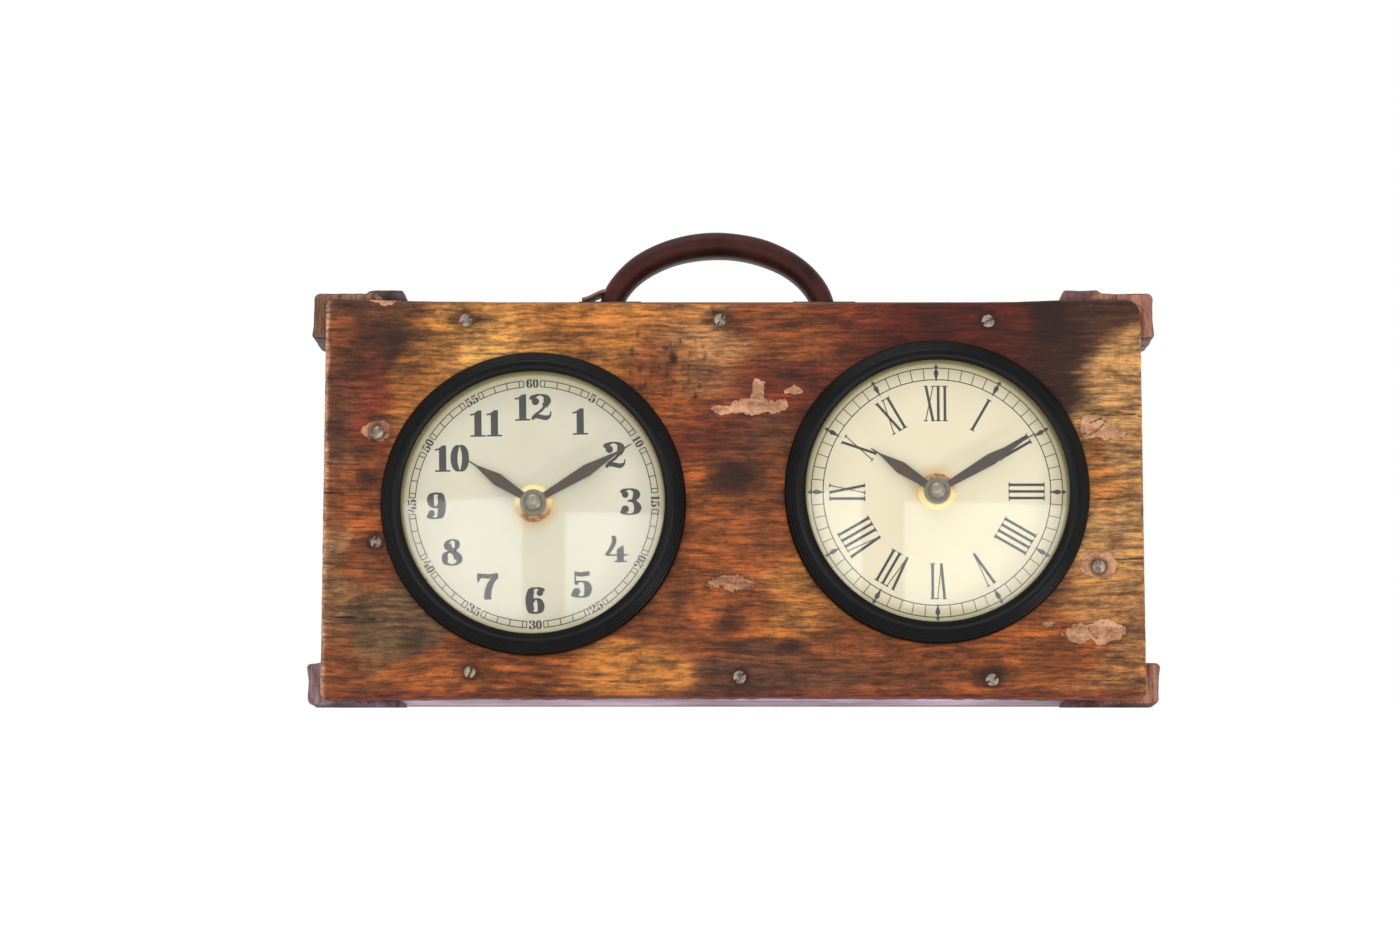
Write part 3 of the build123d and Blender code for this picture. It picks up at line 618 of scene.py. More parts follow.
    # The tint darkens by up to 45 % the further a point lies behind the front face, over the edges and pockets.
    darker_going_back = np.clip((points[:, 1] - 1.2) / 6, 0, 1)[:, None]
    tint = tint * (1 - 0.45 * darker_going_back)
    x, z = points[:, 0], points[:, 2]
    dark_stains_and_screw_shade = np.clip(ellipse_field(x, z, plank_stains), 0, 1)
    dark_stains_and_screw_shade = np.maximum(dark_stains_and_screw_shade, fleck_field(x, z))
    # Each screw gets a dark ring 2.5 mm out from its middle, where its dished hole sinks: painted shade of the
    # hole, with iron staining.
    for cx, cz, _ in screw_places:
        dark_stains_and_screw_shade = np.maximum(dark_stains_and_screw_shade, 0.62 * np.exp(-(((np.hypot(x - cx, z - cz) - 2.5) / 0.9) ** 2)))
    marks = np.stack([dark_stains_and_screw_shade, ellipse_field(x, z, plank_patches) * 0.5, crack_field(x, z)], axis=1)
    world = points * MM
    world[:, 1] += plank_front
    world[:, 2] += plank_bottom
    piece = new_piece("worn_plank", world, faces, plank_finish(), slot="plank_wood", replaces=["front_plank"])
    mesh = piece.data
    for name, values in (("tint", tint), ("marks", marks)):
        layer = mesh.attributes.new(name, "FLOAT_COLOR", "POINT")
        layer.data.foreach_set("color", np.concatenate([values, np.ones((len(values), 1))], axis=1).ravel())

    def change(board):
        bmesh.ops.recalc_face_normals(board, faces=board.faces)
        cut_up(board)
        for face in board.faces:
            face.smooth = abs(face.normal.y) < 0.999 or face.calc_center_median().y < plank_front + 3 * MM

    reshape(piece, change)


make_plank()


# Wooden box
board_finish = worn_wood("box_board", (150, 104, 66), (112, 74, 48), (52, 34, 24))
side_finish = worn_wood("box_side", (150, 104, 66), (108, 70, 46), (50, 32, 24), along=(1.0, 1.0, 0.06))
back_finish = worn_wood("back_board", (176, 134, 90), (142, 102, 66), (84, 56, 38))
# The bottom board is painted near-white lavender over its grain: painted reflection of the pinkish light thrown
# up onto its underside.
bottom_painted_reflection = worn_wood("bottom_board_painted_reflection", (244, 228, 244), (228, 208, 226), (150, 120, 130))


def dress(finishes):
    """Gives CAD nodes their material."""
    for node, material in finishes.items():
        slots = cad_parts[node].data.materials
        slots.clear()
        slots.append(material)


dress(
    {
        "top_board": board_finish,
        "bottom_board": bottom_painted_reflection,
        "left_side_board": side_finish,
        "right_side_board": side_finish,
        "back_panel": back_finish,
    }
)
worn_steel = plain_metal("worn_screw_steel", (148, 134, 120), (52, 34, 27), 0.45, 0.8, 420.0, 1.0)
dark_iron = plain_metal("dark_iron", (66, 58, 54), (96, 62, 44), 0.55, 0.8, 300.0, 0.6)
painted_iron = plain_metal("painted_iron", (34, 28, 28), (70, 52, 44), 0.45, 0.3, 240.0, 0.5)
dress(
    {
        "back_screws": worn_steel,
        "handle_screws": worn_steel,
        "box_nails": dark_iron,
        "guard_tacks": dark_iron,
        "handle_plates": painted_iron,
    }
)


# Slotted screws in the plank


def make_screws():
    """Each head is a shallow dome h = rise * (1 - (r/R)^2) with a slot cut across it, on a plain shank.

    The slot is a band |across| < half its width, sunk by its depth, read off a square-ish polar grid."""
    head, rise, slot_half, slot_depth, round_count = 2.15, 0.45, 0.32, 0.5, 64
    spin = np.linspace(0, 2 * math.pi, round_count, endpoint=False)
    radius = np.array([0.0001, 0.12, 0.3, 0.5, 0.7, 0.85, 0.95, 1.0]) * head
    radius, turn = np.meshgrid(radius, spin, indexing="ij")
    across = radius * np.sin(turn)
    height = rise * (1 - (radius / head) ** 2)
    height = height - slot_depth * np.clip((slot_half - np.abs(across)) / 0.1 + 0.5, 0, 1)
    tail = [(head, -1.3), (1.3, -1.35), (1.25, -15.0), (0.3, -20.0), (0.0001, -20.2)]
    rings_r = np.concatenate([radius, np.array([[r] * round_count for r, _ in tail])])
    rings_h = np.concatenate([height, np.array([[h] * round_count for _, h in tail])])
    turn = np.broadcast_to(spin, rings_r.shape)
    points, faces = [], []
    for number, (cx, cz, angle) in enumerate(screw_places + [covered_screw]):
        lean = math.radians(angle)
        x = rings_r * np.cos(turn + lean) + cx
        z = rings_r * np.sin(turn + lean) + cz
        face = 0.75 + 0.1 * math.sin(number * 2.3) + 0.6 * (number == len(screw_places))
        y = face - rings_h + 0.06 * (x - cx) * math.cos(number) + 0.05 * (z - cz) * math.sin(number)
        grid = closed_grid(*rings_r.shape, wrap_columns=True) + len(points) * rings_r.size
        points.append(np.stack([x, y, z], axis=-1).reshape(-1, 3))
        faces += grid.tolist()
    world = np.concatenate(points) * MM
    world[:, 1] += plank_front
    world[:, 2] += plank_bottom
    piece = new_piece("slotted_screws", world, faces, worn_steel, slot="screw_steel", replaces=["plank_screws"])
    face_outwards(piece)


make_screws()


# Clocks
dial_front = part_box("left_dial")[0].y


def ebony_paint():
    """Black satin paint: slight cloudiness and orange peel."""
    paint = Finish("black_bezel_paint", roughness=0.26, Specular_IOR_Level=0.12)
    cloud = paint.noise(70.0, 4.0)
    paint.paint(paint.mix(paint.spread(cloud, 0.35, 0.7), (5, 5, 5), (12, 11, 12)))
    paint.gloss(paint.spread(cloud, 0.3, 0.7, 0.24, 0.36))
    paint.bump(paint.noise(900.0, 2.0), 0.015, 0.3)
    return paint.material


def clear_glass():
    """Thin clear glass: it lets all through but a share of 2 %, which grows as facing^4 towards its edges."""
    pane = Finish("clear_glass", roughness=0.06, metallic=1.0)
    pane.shader.inputs["Base Color"].default_value = (1, 1, 1, 1)
    facing = pane.node("LayerWeight", {"Blend": 0.5}, 1)
    slanted = pane.sum(facing, 4.0, "POWER")
    share = pane.sum(pane.times(slanted, 0.4), 0.02)
    pane.links.new(share, pane.shader.inputs["Alpha"])
    return pane.material


bezel_paint = ebony_paint()
glass_clear = clear_glass()


def bezel_profile():
    """Lip, rounded band and three beads.

    From the lip outwards the height is crown - 0.13 (r - 45.4)^2 in mm; past r = 47.4 three beads of pitch
    0.95 stand on it, each a rectified sine to the power 0.6."""
    out = np.linspace(43.65, 50.2, 70)
    height = 6.3 - 0.13 * (out - 45.4) ** 2
    beads = np.abs(np.sin(math.pi * np.clip(out - 47.35, 0, 2.85) / 0.95)) ** 0.6
    height = height - np.where(out > 47.35, 0.32 * (1 - beads), 0)
    lip = [(43.42, 5.85), (43.5, 6.05)]
    wall = [(50.34, height[-1] - 0.25), (50.38, height[-1] - 0.6), (50.38, 0.0), (45.7, 0.0), (45.7, 4.9)]
    return lip + list(zip(out, height)) + wall


def glass_profile():
    """Both faces follow height = edge + rise * (1 - (r/R)^2), the glass's thickness apart."""
    radius = np.linspace(45.3, 0.001, 40)
    rise = 4.3 * (1 - (radius / 45.4) ** 2)
    outer = list(zip(radius, 4.6 + rise))
    inner = list(zip(radius[::-1], 3.25 + rise[::-1]))
    return outer + inner


for clock, centre in clock_centres.items():
    bezel = {"slot": "bezel_black", "replaces": [clock + "_bezel"]}
    glass = {"slot": "clock_glass", "replaces": [clock + "_glass"]}
    lathe(clock + "_turned_bezel", bezel_profile(), centre, bezel_paint, **bezel)
    lathe(clock + "_domed_glass", glass_profile(), centre, glass_clear, 128, **glass)


def printed_dial(name, centre, paper, edge, rust_towards):
    """Printed plate: warm paper tone, rust-stained on one side of the nut, with painted shade that yellows it
    towards the rim and turns dark olive at its very edge under the bezel.
    """
    plate = Finish(name, roughness=0.55, Specular_IOR_Level=0.2)
    flat, radius = plate.from_spindle(centre)
    towards = (rust_towards[0], 0, rust_towards[1])
    lean = plate.node("VectorMath", {0: flat, 1: towards}, out=1, operation="DOT_PRODUCT")
    cloud = plate.noise(30.0, 5.0, None, 0.6)
    fine = plate.noise(420.0, 4.0)
    tone = plate.mix(plate.spread(cloud, 0.35, 0.7), paper, tuple(v - 9 for v in paper))
    # Painted shade of the bezel: the tone yellows towards the rim and turns dark olive at the very edge.
    tone = plate.mix(plate.spread(radius, 0.038, 0.0435, 0.0, 0.75), tone, edge)
    tone = plate.mix(plate.spread(radius, 0.0425, 0.0434, 0.0, 0.7), tone, (110, 98, 44))
    frayed = plate.sum(radius, plate.jitter(fine, 0.0024))
    side = plate.spread(lean, -0.004, 0.006)
    halo = plate.times(plate.spread(frayed, 0.0062, 0.0100, 0.6, 0.0), side)
    tone = plate.mix(halo, tone, (196, 150, 78))
    plate.paint(tone)
    plate.bump(fine, 0.01, 0.2)
    return plate.material


def ink(name, tone):
    """Printing ink, a little uneven."""
    print_ink = Finish(name, roughness=0.5)
    wear = print_ink.noise(500.0, 3.0)
    print_ink.paint(print_ink.mix(print_ink.spread(wear, 0.4, 0.75), tone, tuple(v + 22 for v in tone)))
    return print_ink.material


# For each dial: paper tone, the painted shade's colour at the rim, and the way from the nut to its rust stain.
dial_tones = {
    "left": ((196, 189, 167), (186, 172, 128), (0.5, -0.87)),
    "right": ((207, 197, 167), (172, 158, 112), (-0.5, 0.87)),
}
for clock, tones in dial_tones.items():
    dress({clock + "_dial": printed_dial(clock + "_dial_print", clock_centres[clock], *tones)})
black_ink = ink("black_ink", (14, 13, 12))


# Printing: flat shapes as (points, faces) in mm, x to the right and y up


def smooth_path(points, steps=10):
    """A Catmull-Rom curve through the points: on each span p1..p2 the usual cubic in t of its four nearest."""
    p = np.asarray(points, float)
    p = np.concatenate([[2 * p[0] - p[1]], p, [2 * p[-1] - p[-2]]])
    t = np.linspace(0, 1, steps, endpoint=False)[:, None]
    spans = []
    for k in range(len(p) - 3):
        p0, p1, p2, p3 = p[k : k + 4]
        square, cube = 2 * p0 - 5 * p1 + 4 * p2 - p3, 3 * p1 - p0 - 3 * p2 + p3
        spans.append(0.5 * (2 * p1 + (p2 - p0) * t + square * t**2 + cube * t**3))
    return np.concatenate(spans + [p[-2:-1]])


def pen_stroke(points, thick, thin, steps=10, closed=False):
    """A broad-pen line: its width is thin + (thick - thin) * |sin(direction)|^1.6, full on upright runs."""
    path = smooth_path(points, steps)
    if closed:
        path = path[:-1]
        ahead, behind = np.roll(path, -1, 0), np.roll(path, 1, 0)
    else:
        ahead = np.concatenate([path[1:], path[-1:]])
        behind = np.concatenate([path[:1], path[:-1]])
    along = ahead - behind
    along /= np.maximum(np.linalg.norm(along, axis=1, keepdims=True), 1e-9)
    width = thin + (thick - thin) * np.abs(along[:, 1]) ** 1.6
    side = np.stack([-along[:, 1], along[:, 0]], axis=1) * width[:, None] / 2
    ribbon = np.concatenate([path + side, path - side])
    n = len(path)
    k = np.arange(n if closed else n - 1)
    k2 = (k + 1) % n
    return ribbon, np.stack([k + n, k2 + n, k2, k], axis=1).tolist()


def disc(x, y, radius, count=20):
    turn = np.linspace(0, 2 * math.pi, count, endpoint=False)
    return np.stack([x + radius * np.cos(turn), y + radius * np.sin(turn)], axis=1), [list(range(count))]


def polygon(points):
    return np.asarray(points, float), [list(range(len(points)))]


def oval(x, y, wide, high, count=12):
    turn = np.linspace(0, 2 * math.pi, count + 1)
    return [(x + wide * math.cos(t), y + high * math.sin(t)) for t in turn]


def fat_digit(digit):
    """One figure of a heavy book face, 1 high and 0.84 wide: broad uprights, hair-thin turns, ball ends."""
    thick, thin = 0.29, 0.055
    if digit == "0":
        return [pen_stroke(oval(0.36, 0.5, 0.22, 0.47), 0.26, thin, 6, closed=True)]
    if digit == "1":
        return [
            polygon([(0.20, 0.03), (0.47, 0.03), (0.47, 1.0), (0.38, 1.0), (0.20, 0.90)]),
            polygon([(0.04, 0.80), (0.22, 0.83), (0.40, 1.0), (0.33, 1.0), (0.20, 0.90), (0.04, 0.86)]),
            polygon([(0.05, 0), (0.62, 0), (0.62, 0.06), (0.05, 0.06)]),
        ]
    if digit == "2":
        return [
            disc(0.20, 0.72, 0.14),
            pen_stroke(
                [(0.08, 0.76), (0.15, 0.90), (0.36, 0.975), (0.57, 0.90), (0.64, 0.72), (0.54, 0.53)],
                thick, thin,
            ),
            pen_stroke([(0.60, 0.60), (0.42, 0.38), (0.18, 0.20), (0.08, 0.03)], 0.13, 0.07),
            pen_stroke(
                [(0.08, 0.06), (0.22, 0.16), (0.42, 0.12), (0.60, 0.09), (0.74, 0.17), (0.78, 0.33)],
                0.05, 0.19,
            ),
        ]
    if digit == "3":
        return [
            disc(0.19, 0.77, 0.125),
            disc(0.18, 0.22, 0.14),
            pen_stroke(
                [
                    (0.08, 0.80), (0.18, 0.93), (0.37, 0.975), (0.55, 0.90),
                    (0.61, 0.75), (0.50, 0.58), (0.28, 0.53),
                ],
                thick, thin,
            ),
            pen_stroke(
                [
                    (0.28, 0.53), (0.52, 0.48), (0.65, 0.28), (0.56, 0.09),
                    (0.37, 0.025), (0.17, 0.07), (0.06, 0.20),
                ],
                thick, thin,
            ),
        ]
    if digit == "4":
        return [
            polygon([(0.42, 0.04), (0.68, 0.04), (0.68, 0.64), (0.42, 0.50)]),
            polygon([(0.32, 0), (0.80, 0), (0.80, 0.055), (0.32, 0.055)]),
            polygon([(0.0, 0.24), (0.84, 0.24), (0.84, 0.305), (0.0, 0.305)]),
            pen_stroke([(0.02, 0.27), (0.18, 0.48), (0.32, 0.76), (0.30, 1.0)], 0.17, 0.08),
        ]
    if digit == "5":
        return [
            disc(0.19, 0.23, 0.14),
            polygon([(0.12, 0.82), (0.38, 0.78), (0.70, 0.83), (0.68, 1.0), (0.38, 0.95), (0.12, 1.0)]),
            polygon([(0.12, 1.0), (0.18, 1.0), (0.18, 0.54), (0.12, 0.50)]),
            pen_stroke(
                [
                    (0.14, 0.52), (0.31, 0.61), (0.53, 0.55), (0.63, 0.33),
                    (0.55, 0.10), (0.36, 0.025), (0.16, 0.08), (0.06, 0.22),
                ],
                thick, thin,
            ),
        ]
    if digit in "69":
        parts = [
            disc(0.60, 0.79, 0.125),
            pen_stroke(
                [
                    (0.72, 0.82), (0.62, 0.93), (0.46, 0.975), (0.28, 0.88),
                    (0.20, 0.50), (0.27, 0.12), (0.43, 0.025),
                ],
                thick, thin,
            ),
            pen_stroke(
                [(0.43, 0.025), (0.58, 0.10), (0.64, 0.29), (0.57, 0.49), (0.43, 0.56), (0.28, 0.46)],
                thick * 0.9, thin,
            ),
        ]
        if digit == "9":
            parts = [(np.array([0.84, 1.0]) - p, f) for p, f in parts]
        return parts
    if digit == "7":
        return [
            polygon(
                [
                    (0.04, 0.66), (0.10, 0.66), (0.17, 0.81), (0.48, 0.78),
                    (0.82, 0.87), (0.82, 1.0), (0.48, 0.95), (0.04, 1.0),
                ]
            ),
            pen_stroke([(0.79, 0.90), (0.58, 0.66), (0.47, 0.42), (0.43, 0.20), (0.44, 0.0)], 0.27, 0.06),
        ]
    return [
        pen_stroke(
            [(0.42, 0.56), (0.22, 0.68), (0.25, 0.88), (0.43, 0.975), (0.60, 0.88), (0.58, 0.68), (0.42, 0.56)],
            0.20, thin,
        ),
        pen_stroke(
            [(0.42, 0.56), (0.17, 0.43), (0.17, 0.13), (0.42, 0.025), (0.66, 0.14), (0.65, 0.38), (0.42, 0.56)],
            0.23, thin,
        ),
        pen_stroke([(0.27, 0.80), (0.34, 0.62), (0.54, 0.45), (0.61, 0.25)], 0.24, 0.18),
    ]


digit_widths = {"0": 0.74, "1": 0.66}


def fat_number(text, height):
    """Figures side by side, centred, height mm tall."""
    widths = [digit_widths.get(digit, 0.84) - 0.04 * (len(text) > 1) for digit in text]
    parts = []
    for place, digit in enumerate(text):
        for points, faces in fat_digit(digit):
            shift = np.array([sum(widths[:place]) - sum(widths) / 2 + 0.01, -0.5])
            parts.append(((points + shift) * height, faces))
    return parts


def roman_letter(letter):
    """A narrow Roman capital, 1 high: broad and hair strokes with short serifs; returns parts and width."""
    broad, hair, serif = 0.075, 0.028, 0.03

    def slab(x0, x1, y):
        return polygon([(x0, y - serif / 2), (x1, y - serif / 2), (x1, y + serif / 2), (x0, y + serif / 2)])

    def stroke(x0, x1, width):
        return polygon([(x0 - width / 2, 0), (x0 + width / 2, 0), (x1 + width / 2, 1), (x1 - width / 2, 1)])

    ends = [serif / 2, 1 - serif / 2]
    if letter == "I":
        return [stroke(0.075, 0.075, broad)] + [slab(0.0, 0.15, y) for y in ends], 0.185
    if letter == "V":
        strokes = [stroke(0.145, 0.055, broad), stroke(0.145, 0.25, hair)]
        return strokes + [slab(0.0, 0.11, ends[1]), slab(0.20, 0.30, ends[1])], 0.31
    strokes = [stroke(0.26, 0.06, broad), stroke(0.05, 0.265, hair)]
    return strokes + [slab(x, x + 0.11, y) for y in ends for x in (0.0, 0.205)], 0.33


def roman_number(text, height):
    parts, along = [], 0.0
    for letter in text:
        shapes, width = roman_letter(letter)
        parts += [(points + np.array([along, -0.5]), faces) for points, faces in shapes]
        along += width
    return [((points - np.array([along / 2, 0])) * height, faces) for points, faces in parts]


def placed(parts, radius, degrees, turn):
    """Parts moved out along the ray at degrees clockwise from the top, turned clockwise by turn."""
    ray = math.radians(degrees)
    spin = math.radians(turn)
    shift = np.array([radius * math.sin(ray), radius * math.cos(ray)])
    matrix = np.array([[math.cos(spin), -math.sin(spin)], [math.sin(spin), math.cos(spin)]])
    return [(points @ matrix + shift, faces) for points, faces in parts]


def arc(radius, width, start, stop):
    """A band between two radii from start to stop, degrees clockwise from the top, one point in 2 degrees."""
    count = max(3, int((stop - start) * 0.5) + 1)
    t = np.radians(np.linspace(start, stop, count))
    rays = np.stack([np.sin(t), np.cos(t)], axis=1)
    points = np.concatenate([rays * (radius + width / 2), rays * (radius - width / 2)])
    k = np.arange(count - 1)
    return points, np.stack([k + count, k + 1 + count, k + 1, k], axis=1).tolist()


def tick(inner, outer, width, degrees):
    shape = [polygon([(-width / 2, inner), (width / 2, inner), (width / 2, outer), (-width / 2, outer)])]
    return placed(shape, 0, degrees, degrees)


def print_on_dial(name, clock, parts, lift_mm=0.03):
    """Lays flat parts just in front of the dial's face."""
    centre = clock_centres[clock]
    points, faces, base = [], [], 0
    for shape, polygons in parts:
        layer = lift_mm + 0.004 * (len(points) % 5)
        x = centre[0] + shape[:, 0] * MM
        z = centre[2] + shape[:, 1] * MM
        points.append(np.stack([x, np.full(len(shape), dial_front - layer * MM), z], axis=1))
        faces += [[base + k for k in polygon_] for polygon_ in polygons]
        base += len(shape)
    piece = new_piece(name, np.concatenate(points), faces, black_ink, slot=clock + "_dial", smooth=False)

    def change(mesh):
        bmesh.ops.reverse_faces(mesh, faces=[f for f in mesh.faces if f.normal.y > 0])
        cut_up(mesh)

    reshape(piece, change)


# The left dial sits a little askew.
left_dial_turn = -1.2


def print_left_dial():
    """Heavy upright figures and a two-line minute track broken by small minute numbers."""
    hour_radius, quarter_extra, hour_height = 31.3, 0.9, 8.8
    track_inner, track_outer, line = 39.1, 41.2, 0.32
    minute_radius, minute_height = 40.15, 2.85
    hours = []
    for hour in range(1, 13):
        reach = hour_radius + quarter_extra * (hour % 3 == 0)
        hours += placed(fat_number(str(hour), hour_height), reach, hour * 30 + left_dial_turn, left_dial_turn)
    track = []
    for minute in range(0, 60, 5):
        degrees = minute * 6 + left_dial_turn
        text = str(minute or 60)
        gap = 4.0 if len(text) == 2 else 2.6
        next_gap = 2.6 if minute == 0 else 4.0
        upside_down = 95 < degrees < 265
        track += placed(fat_number(text, minute_height), minute_radius, degrees, degrees + 180 * upside_down)
        for radius in (track_inner, track_outer):
            track.append(arc(radius, line, degrees + gap, degrees + 30 - next_gap))
        for extra in (1, 2, 3, 4):
            track += tick(track_inner, track_outer, line, degrees + extra * 6)
        track += tick(track_inner, track_outer, line, degrees + gap)
        track += tick(track_inner, track_outer, line, degrees + 30 - next_gap)
    print_on_dial("left_hour_figures", "left", hours)
    print_on_dial("left_minute_track", "left", track)


def print_right_dial():
    """Narrow Roman numbers, feet to the middle, and a railway track with a spear every five minutes."""
    numbers = ["I", "II", "III", "IIII", "V", "VI", "VII", "VIII", "IX", "X", "XI", "XII"]
    numeral_middle, numeral_height = 29.6, 11.9
    track_inner, track_outer, line = 37.6, 41.5, 0.34
    hours = []
    for hour, text in enumerate(numbers, 1):
        hours += placed(roman_number(text, numeral_height), numeral_middle, hour * 30, hour * 30)
    track = [arc(track_inner, line, 0, 360), arc(track_outer, line, 0, 360)]
    for minute in range(60):
        track += tick(track_inner, track_outer, line * 0.8, minute * 6)
    spear = [(0, 36.6), (0.22, 37.8), (0.85, 39.9), (0.2, 41.2), (0.8, 41.6), (0.12, 42.7)]
    spear = spear + [(-x, y) for x, y in reversed(spear)]
    for minute in range(0, 60, 5):
        track += placed([polygon(spear)], 0, minute * 6, minute * 6)
    print_on_dial("right_hour_numerals", "right", hours)
    print_on_dial("right_minute_track", "right", track)


print_left_dial()
print_right_dial()

# Hands, nuts and movements


def hand_metal(name, centre):
    """Gunmetal with rusty blotches; the collar, within 4.4 mm of the spindle, is polished grey."""
    metal = Finish(name, roughness=0.46, metallic=0.5, Specular_IOR_Level=0.3)
    radius = metal.from_spindle(centre)[1]
    blotches = metal.noise(260.0, 5.0)
    blade = metal.mix(metal.spread(blotches, 0.45, 0.68, 0.0, 0.7), (58, 53, 49), (84, 56, 38))
    metal.paint(metal.mix(metal.spread(radius, 0.0042, 0.0046), (104, 98, 86), blade))
    metal.gloss(metal.spread(blotches, 0.3, 0.7, 0.38, 0.6))
    metal.bump(metal.noise(1800.0, 2.0), 0.04, 0.4)
    return metal.material


def rusted_nut():
    """Pale brass plating, rusted through on the side of each dial's stain (left: below, right: above)."""
    nut = Finish("rusted_brass_nut", roughness=0.4, metallic=0.55)
    place = nut.node("SeparateXYZ", {"Vector": nut.place})
    side = nut.sum(place, 0.0, "GREATER_THAN")
    height = place.node.outputs[2]
    levels = [clock_centres[clock][2] for clock in ("left", "right")]
    above = nut.sum(height, nut.sum(nut.times(side, levels[1] - levels[0]), levels[0]), "SUBTRACT")
    towards = nut.times(above, nut.sum(nut.times(side, 2.0), -1.0))
    patches = nut.noise(700.0, 4.0)
    rust = nut.times(nut.spread(towards, -0.001, 0.004), nut.spread(patches, 0.35, 0.6, 0.5, 1.0))
    nut.paint(nut.mix(rust, (222, 196, 132), (142, 88, 38)))
    nut.gloss(nut.sum(nut.times(rust, 0.3), 0.35))
    nut.bump(patches, 0.05, 0.4)
    return nut.material


def cap_nut_profile(foot, top):
    """A plain dome on a rim: its radius is R cos(t) and it stands up from the rim by H sin(t)."""
    t = np.linspace(0, math.pi / 2, 24)
    spring = foot + 0.55
    dome = zip(np.maximum(2.95 * np.cos(t), 0.001), spring + (top - spring) * np.sin(t))
    return [(0.001, foot), (3.05, foot), (3.05, foot + 0.5)] + list(dome)


cap_grey = plain_metal("cap_nut_grey", (134, 126, 106), (100, 88, 70), 0.36, 0.7, 300.0, 0.5)
turned_brass = plain_metal("turned_brass", (206, 170, 98), (160, 120, 62), 0.28, 1.0, 200.0, 0.4)
contact_strip = plain_metal("contact_strip", (196, 194, 188), (150, 146, 138), 0.3, 1.0, 120.0, 0.4)
copper_wire = plain_metal("copper_wire", (178, 92, 52), (128, 60, 34), 0.35, 0.9, 900.0, 0.6, 0.15)
white_nylon = moulded("white_nylon", (226, 224, 214), 0.45)
black_plastic = moulded("black_moulding", (26, 26, 28), 0.55)
cell_jacket = moulded("cell_jacket", (52, 62, 78), 0.32)
green_board = moulded("green_board", (26, 74, 44), 0.4)
dress({"fixing_nuts": rusted_nut()})
for clock, centre in clock_centres.items():
    low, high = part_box(clock + "_cap_nut")
    dome = cap_nut_profile((centre[1] - high.y) / MM, (centre[1] - low.y) / MM)
    cap = {"body": clock + "_minute", "slot": "nut_brass", "replaces": [clock + "_cap_nut"]}
    lathe(clock + "_domed_cap", dome, centre, cap_grey, 48, **cap)
    dress(
        {
            clock + "_hour_hand": hand_metal(clock + "_hour_hand_metal", centre),
            clock + "_minute_hand": hand_metal(clock + "_minute_hand_metal", centre),
            clock + "_minute_arbor": turned_brass,
            clock + "_hour_wheel": white_nylon,
            clock + "_minute_wheel": white_nylon,
            clock + "_set_knob": white_nylon,
            clock + "_movement_case": black_plastic,
            clock + "_movement_cover": black_plastic,
            clock + "_cell": cell_jacket,
            clock + "_cell_contacts": contact_strip,
            clock + "_circuit_board": green_board,
            clock + "_coil": copper_wire,
        }
    )


# Leather


def handle_leather():
    """Smooth waxed leather: slow darkening, fine pores and creases."""
    hide = Finish("handle_leather", roughness=0.42, Specular_IOR_Level=0.12)
    cloud = hide.noise(60.0, 4.0)
    pores = hide.cells(1400.0)
    tone = hide.mix(hide.spread(cloud, 0.35, 0.7), (34, 15, 13), (72, 32, 25))
    hide.paint(hide.mix(hide.spread(pores, 0.0, 0.35, 0.35, 0.0), tone, (26, 12, 10)))
    hide.gloss(hide.spread(cloud, 0.3, 0.7, 0.36, 0.52))
    hide.bump(hide.sum(pores, hide.noise(160.0, 4.0)), 0.12, 0.5)
    return hide.material


def guard_leather(name, cut, cut_dark, skin, skin_dark):
    """Thick leather: fibrous where it is cut, which the piece's own mask says, and cracked skin elsewhere."""
    hide = Finish(name, roughness=0.62, Specular_IOR_Level=0.25)
    ends = hide.attribute("cut", "Fac")
    fibres = hide.noise(700.0, 5.0, hide.stretch((1, 1, 0.10)), 0.7)
    lumps = hide.noise(150.0, 4.0)
    cracks = hide.cells(260.0, hide.stretch((1, 1, 0.6)), "DISTANCE_TO_EDGE")
    cut_tone = hide.mix(hide.spread(fibres, 0.36, 0.62), cut_dark, cut)
    skin_tone = hide.mix(hide.spread(lumps, 0.35, 0.68), skin_dark, skin)
    skin_tone = hide.mix(hide.spread(cracks, 0.0, 0.06, 0.6, 0.0), skin_tone, skin_dark)
    edge = hide.spread(hide.sum(ends, hide.jitter(lumps, 0.5)), 0.45, 0.6)
    hide.paint(hide.mix(edge, skin_tone, cut_tone))
    hide.bump(hide.sum(fibres, hide.sum(lumps, hide.spread(cracks, 0.0, 0.1))), 0.35, 0.6)
    return hide.material


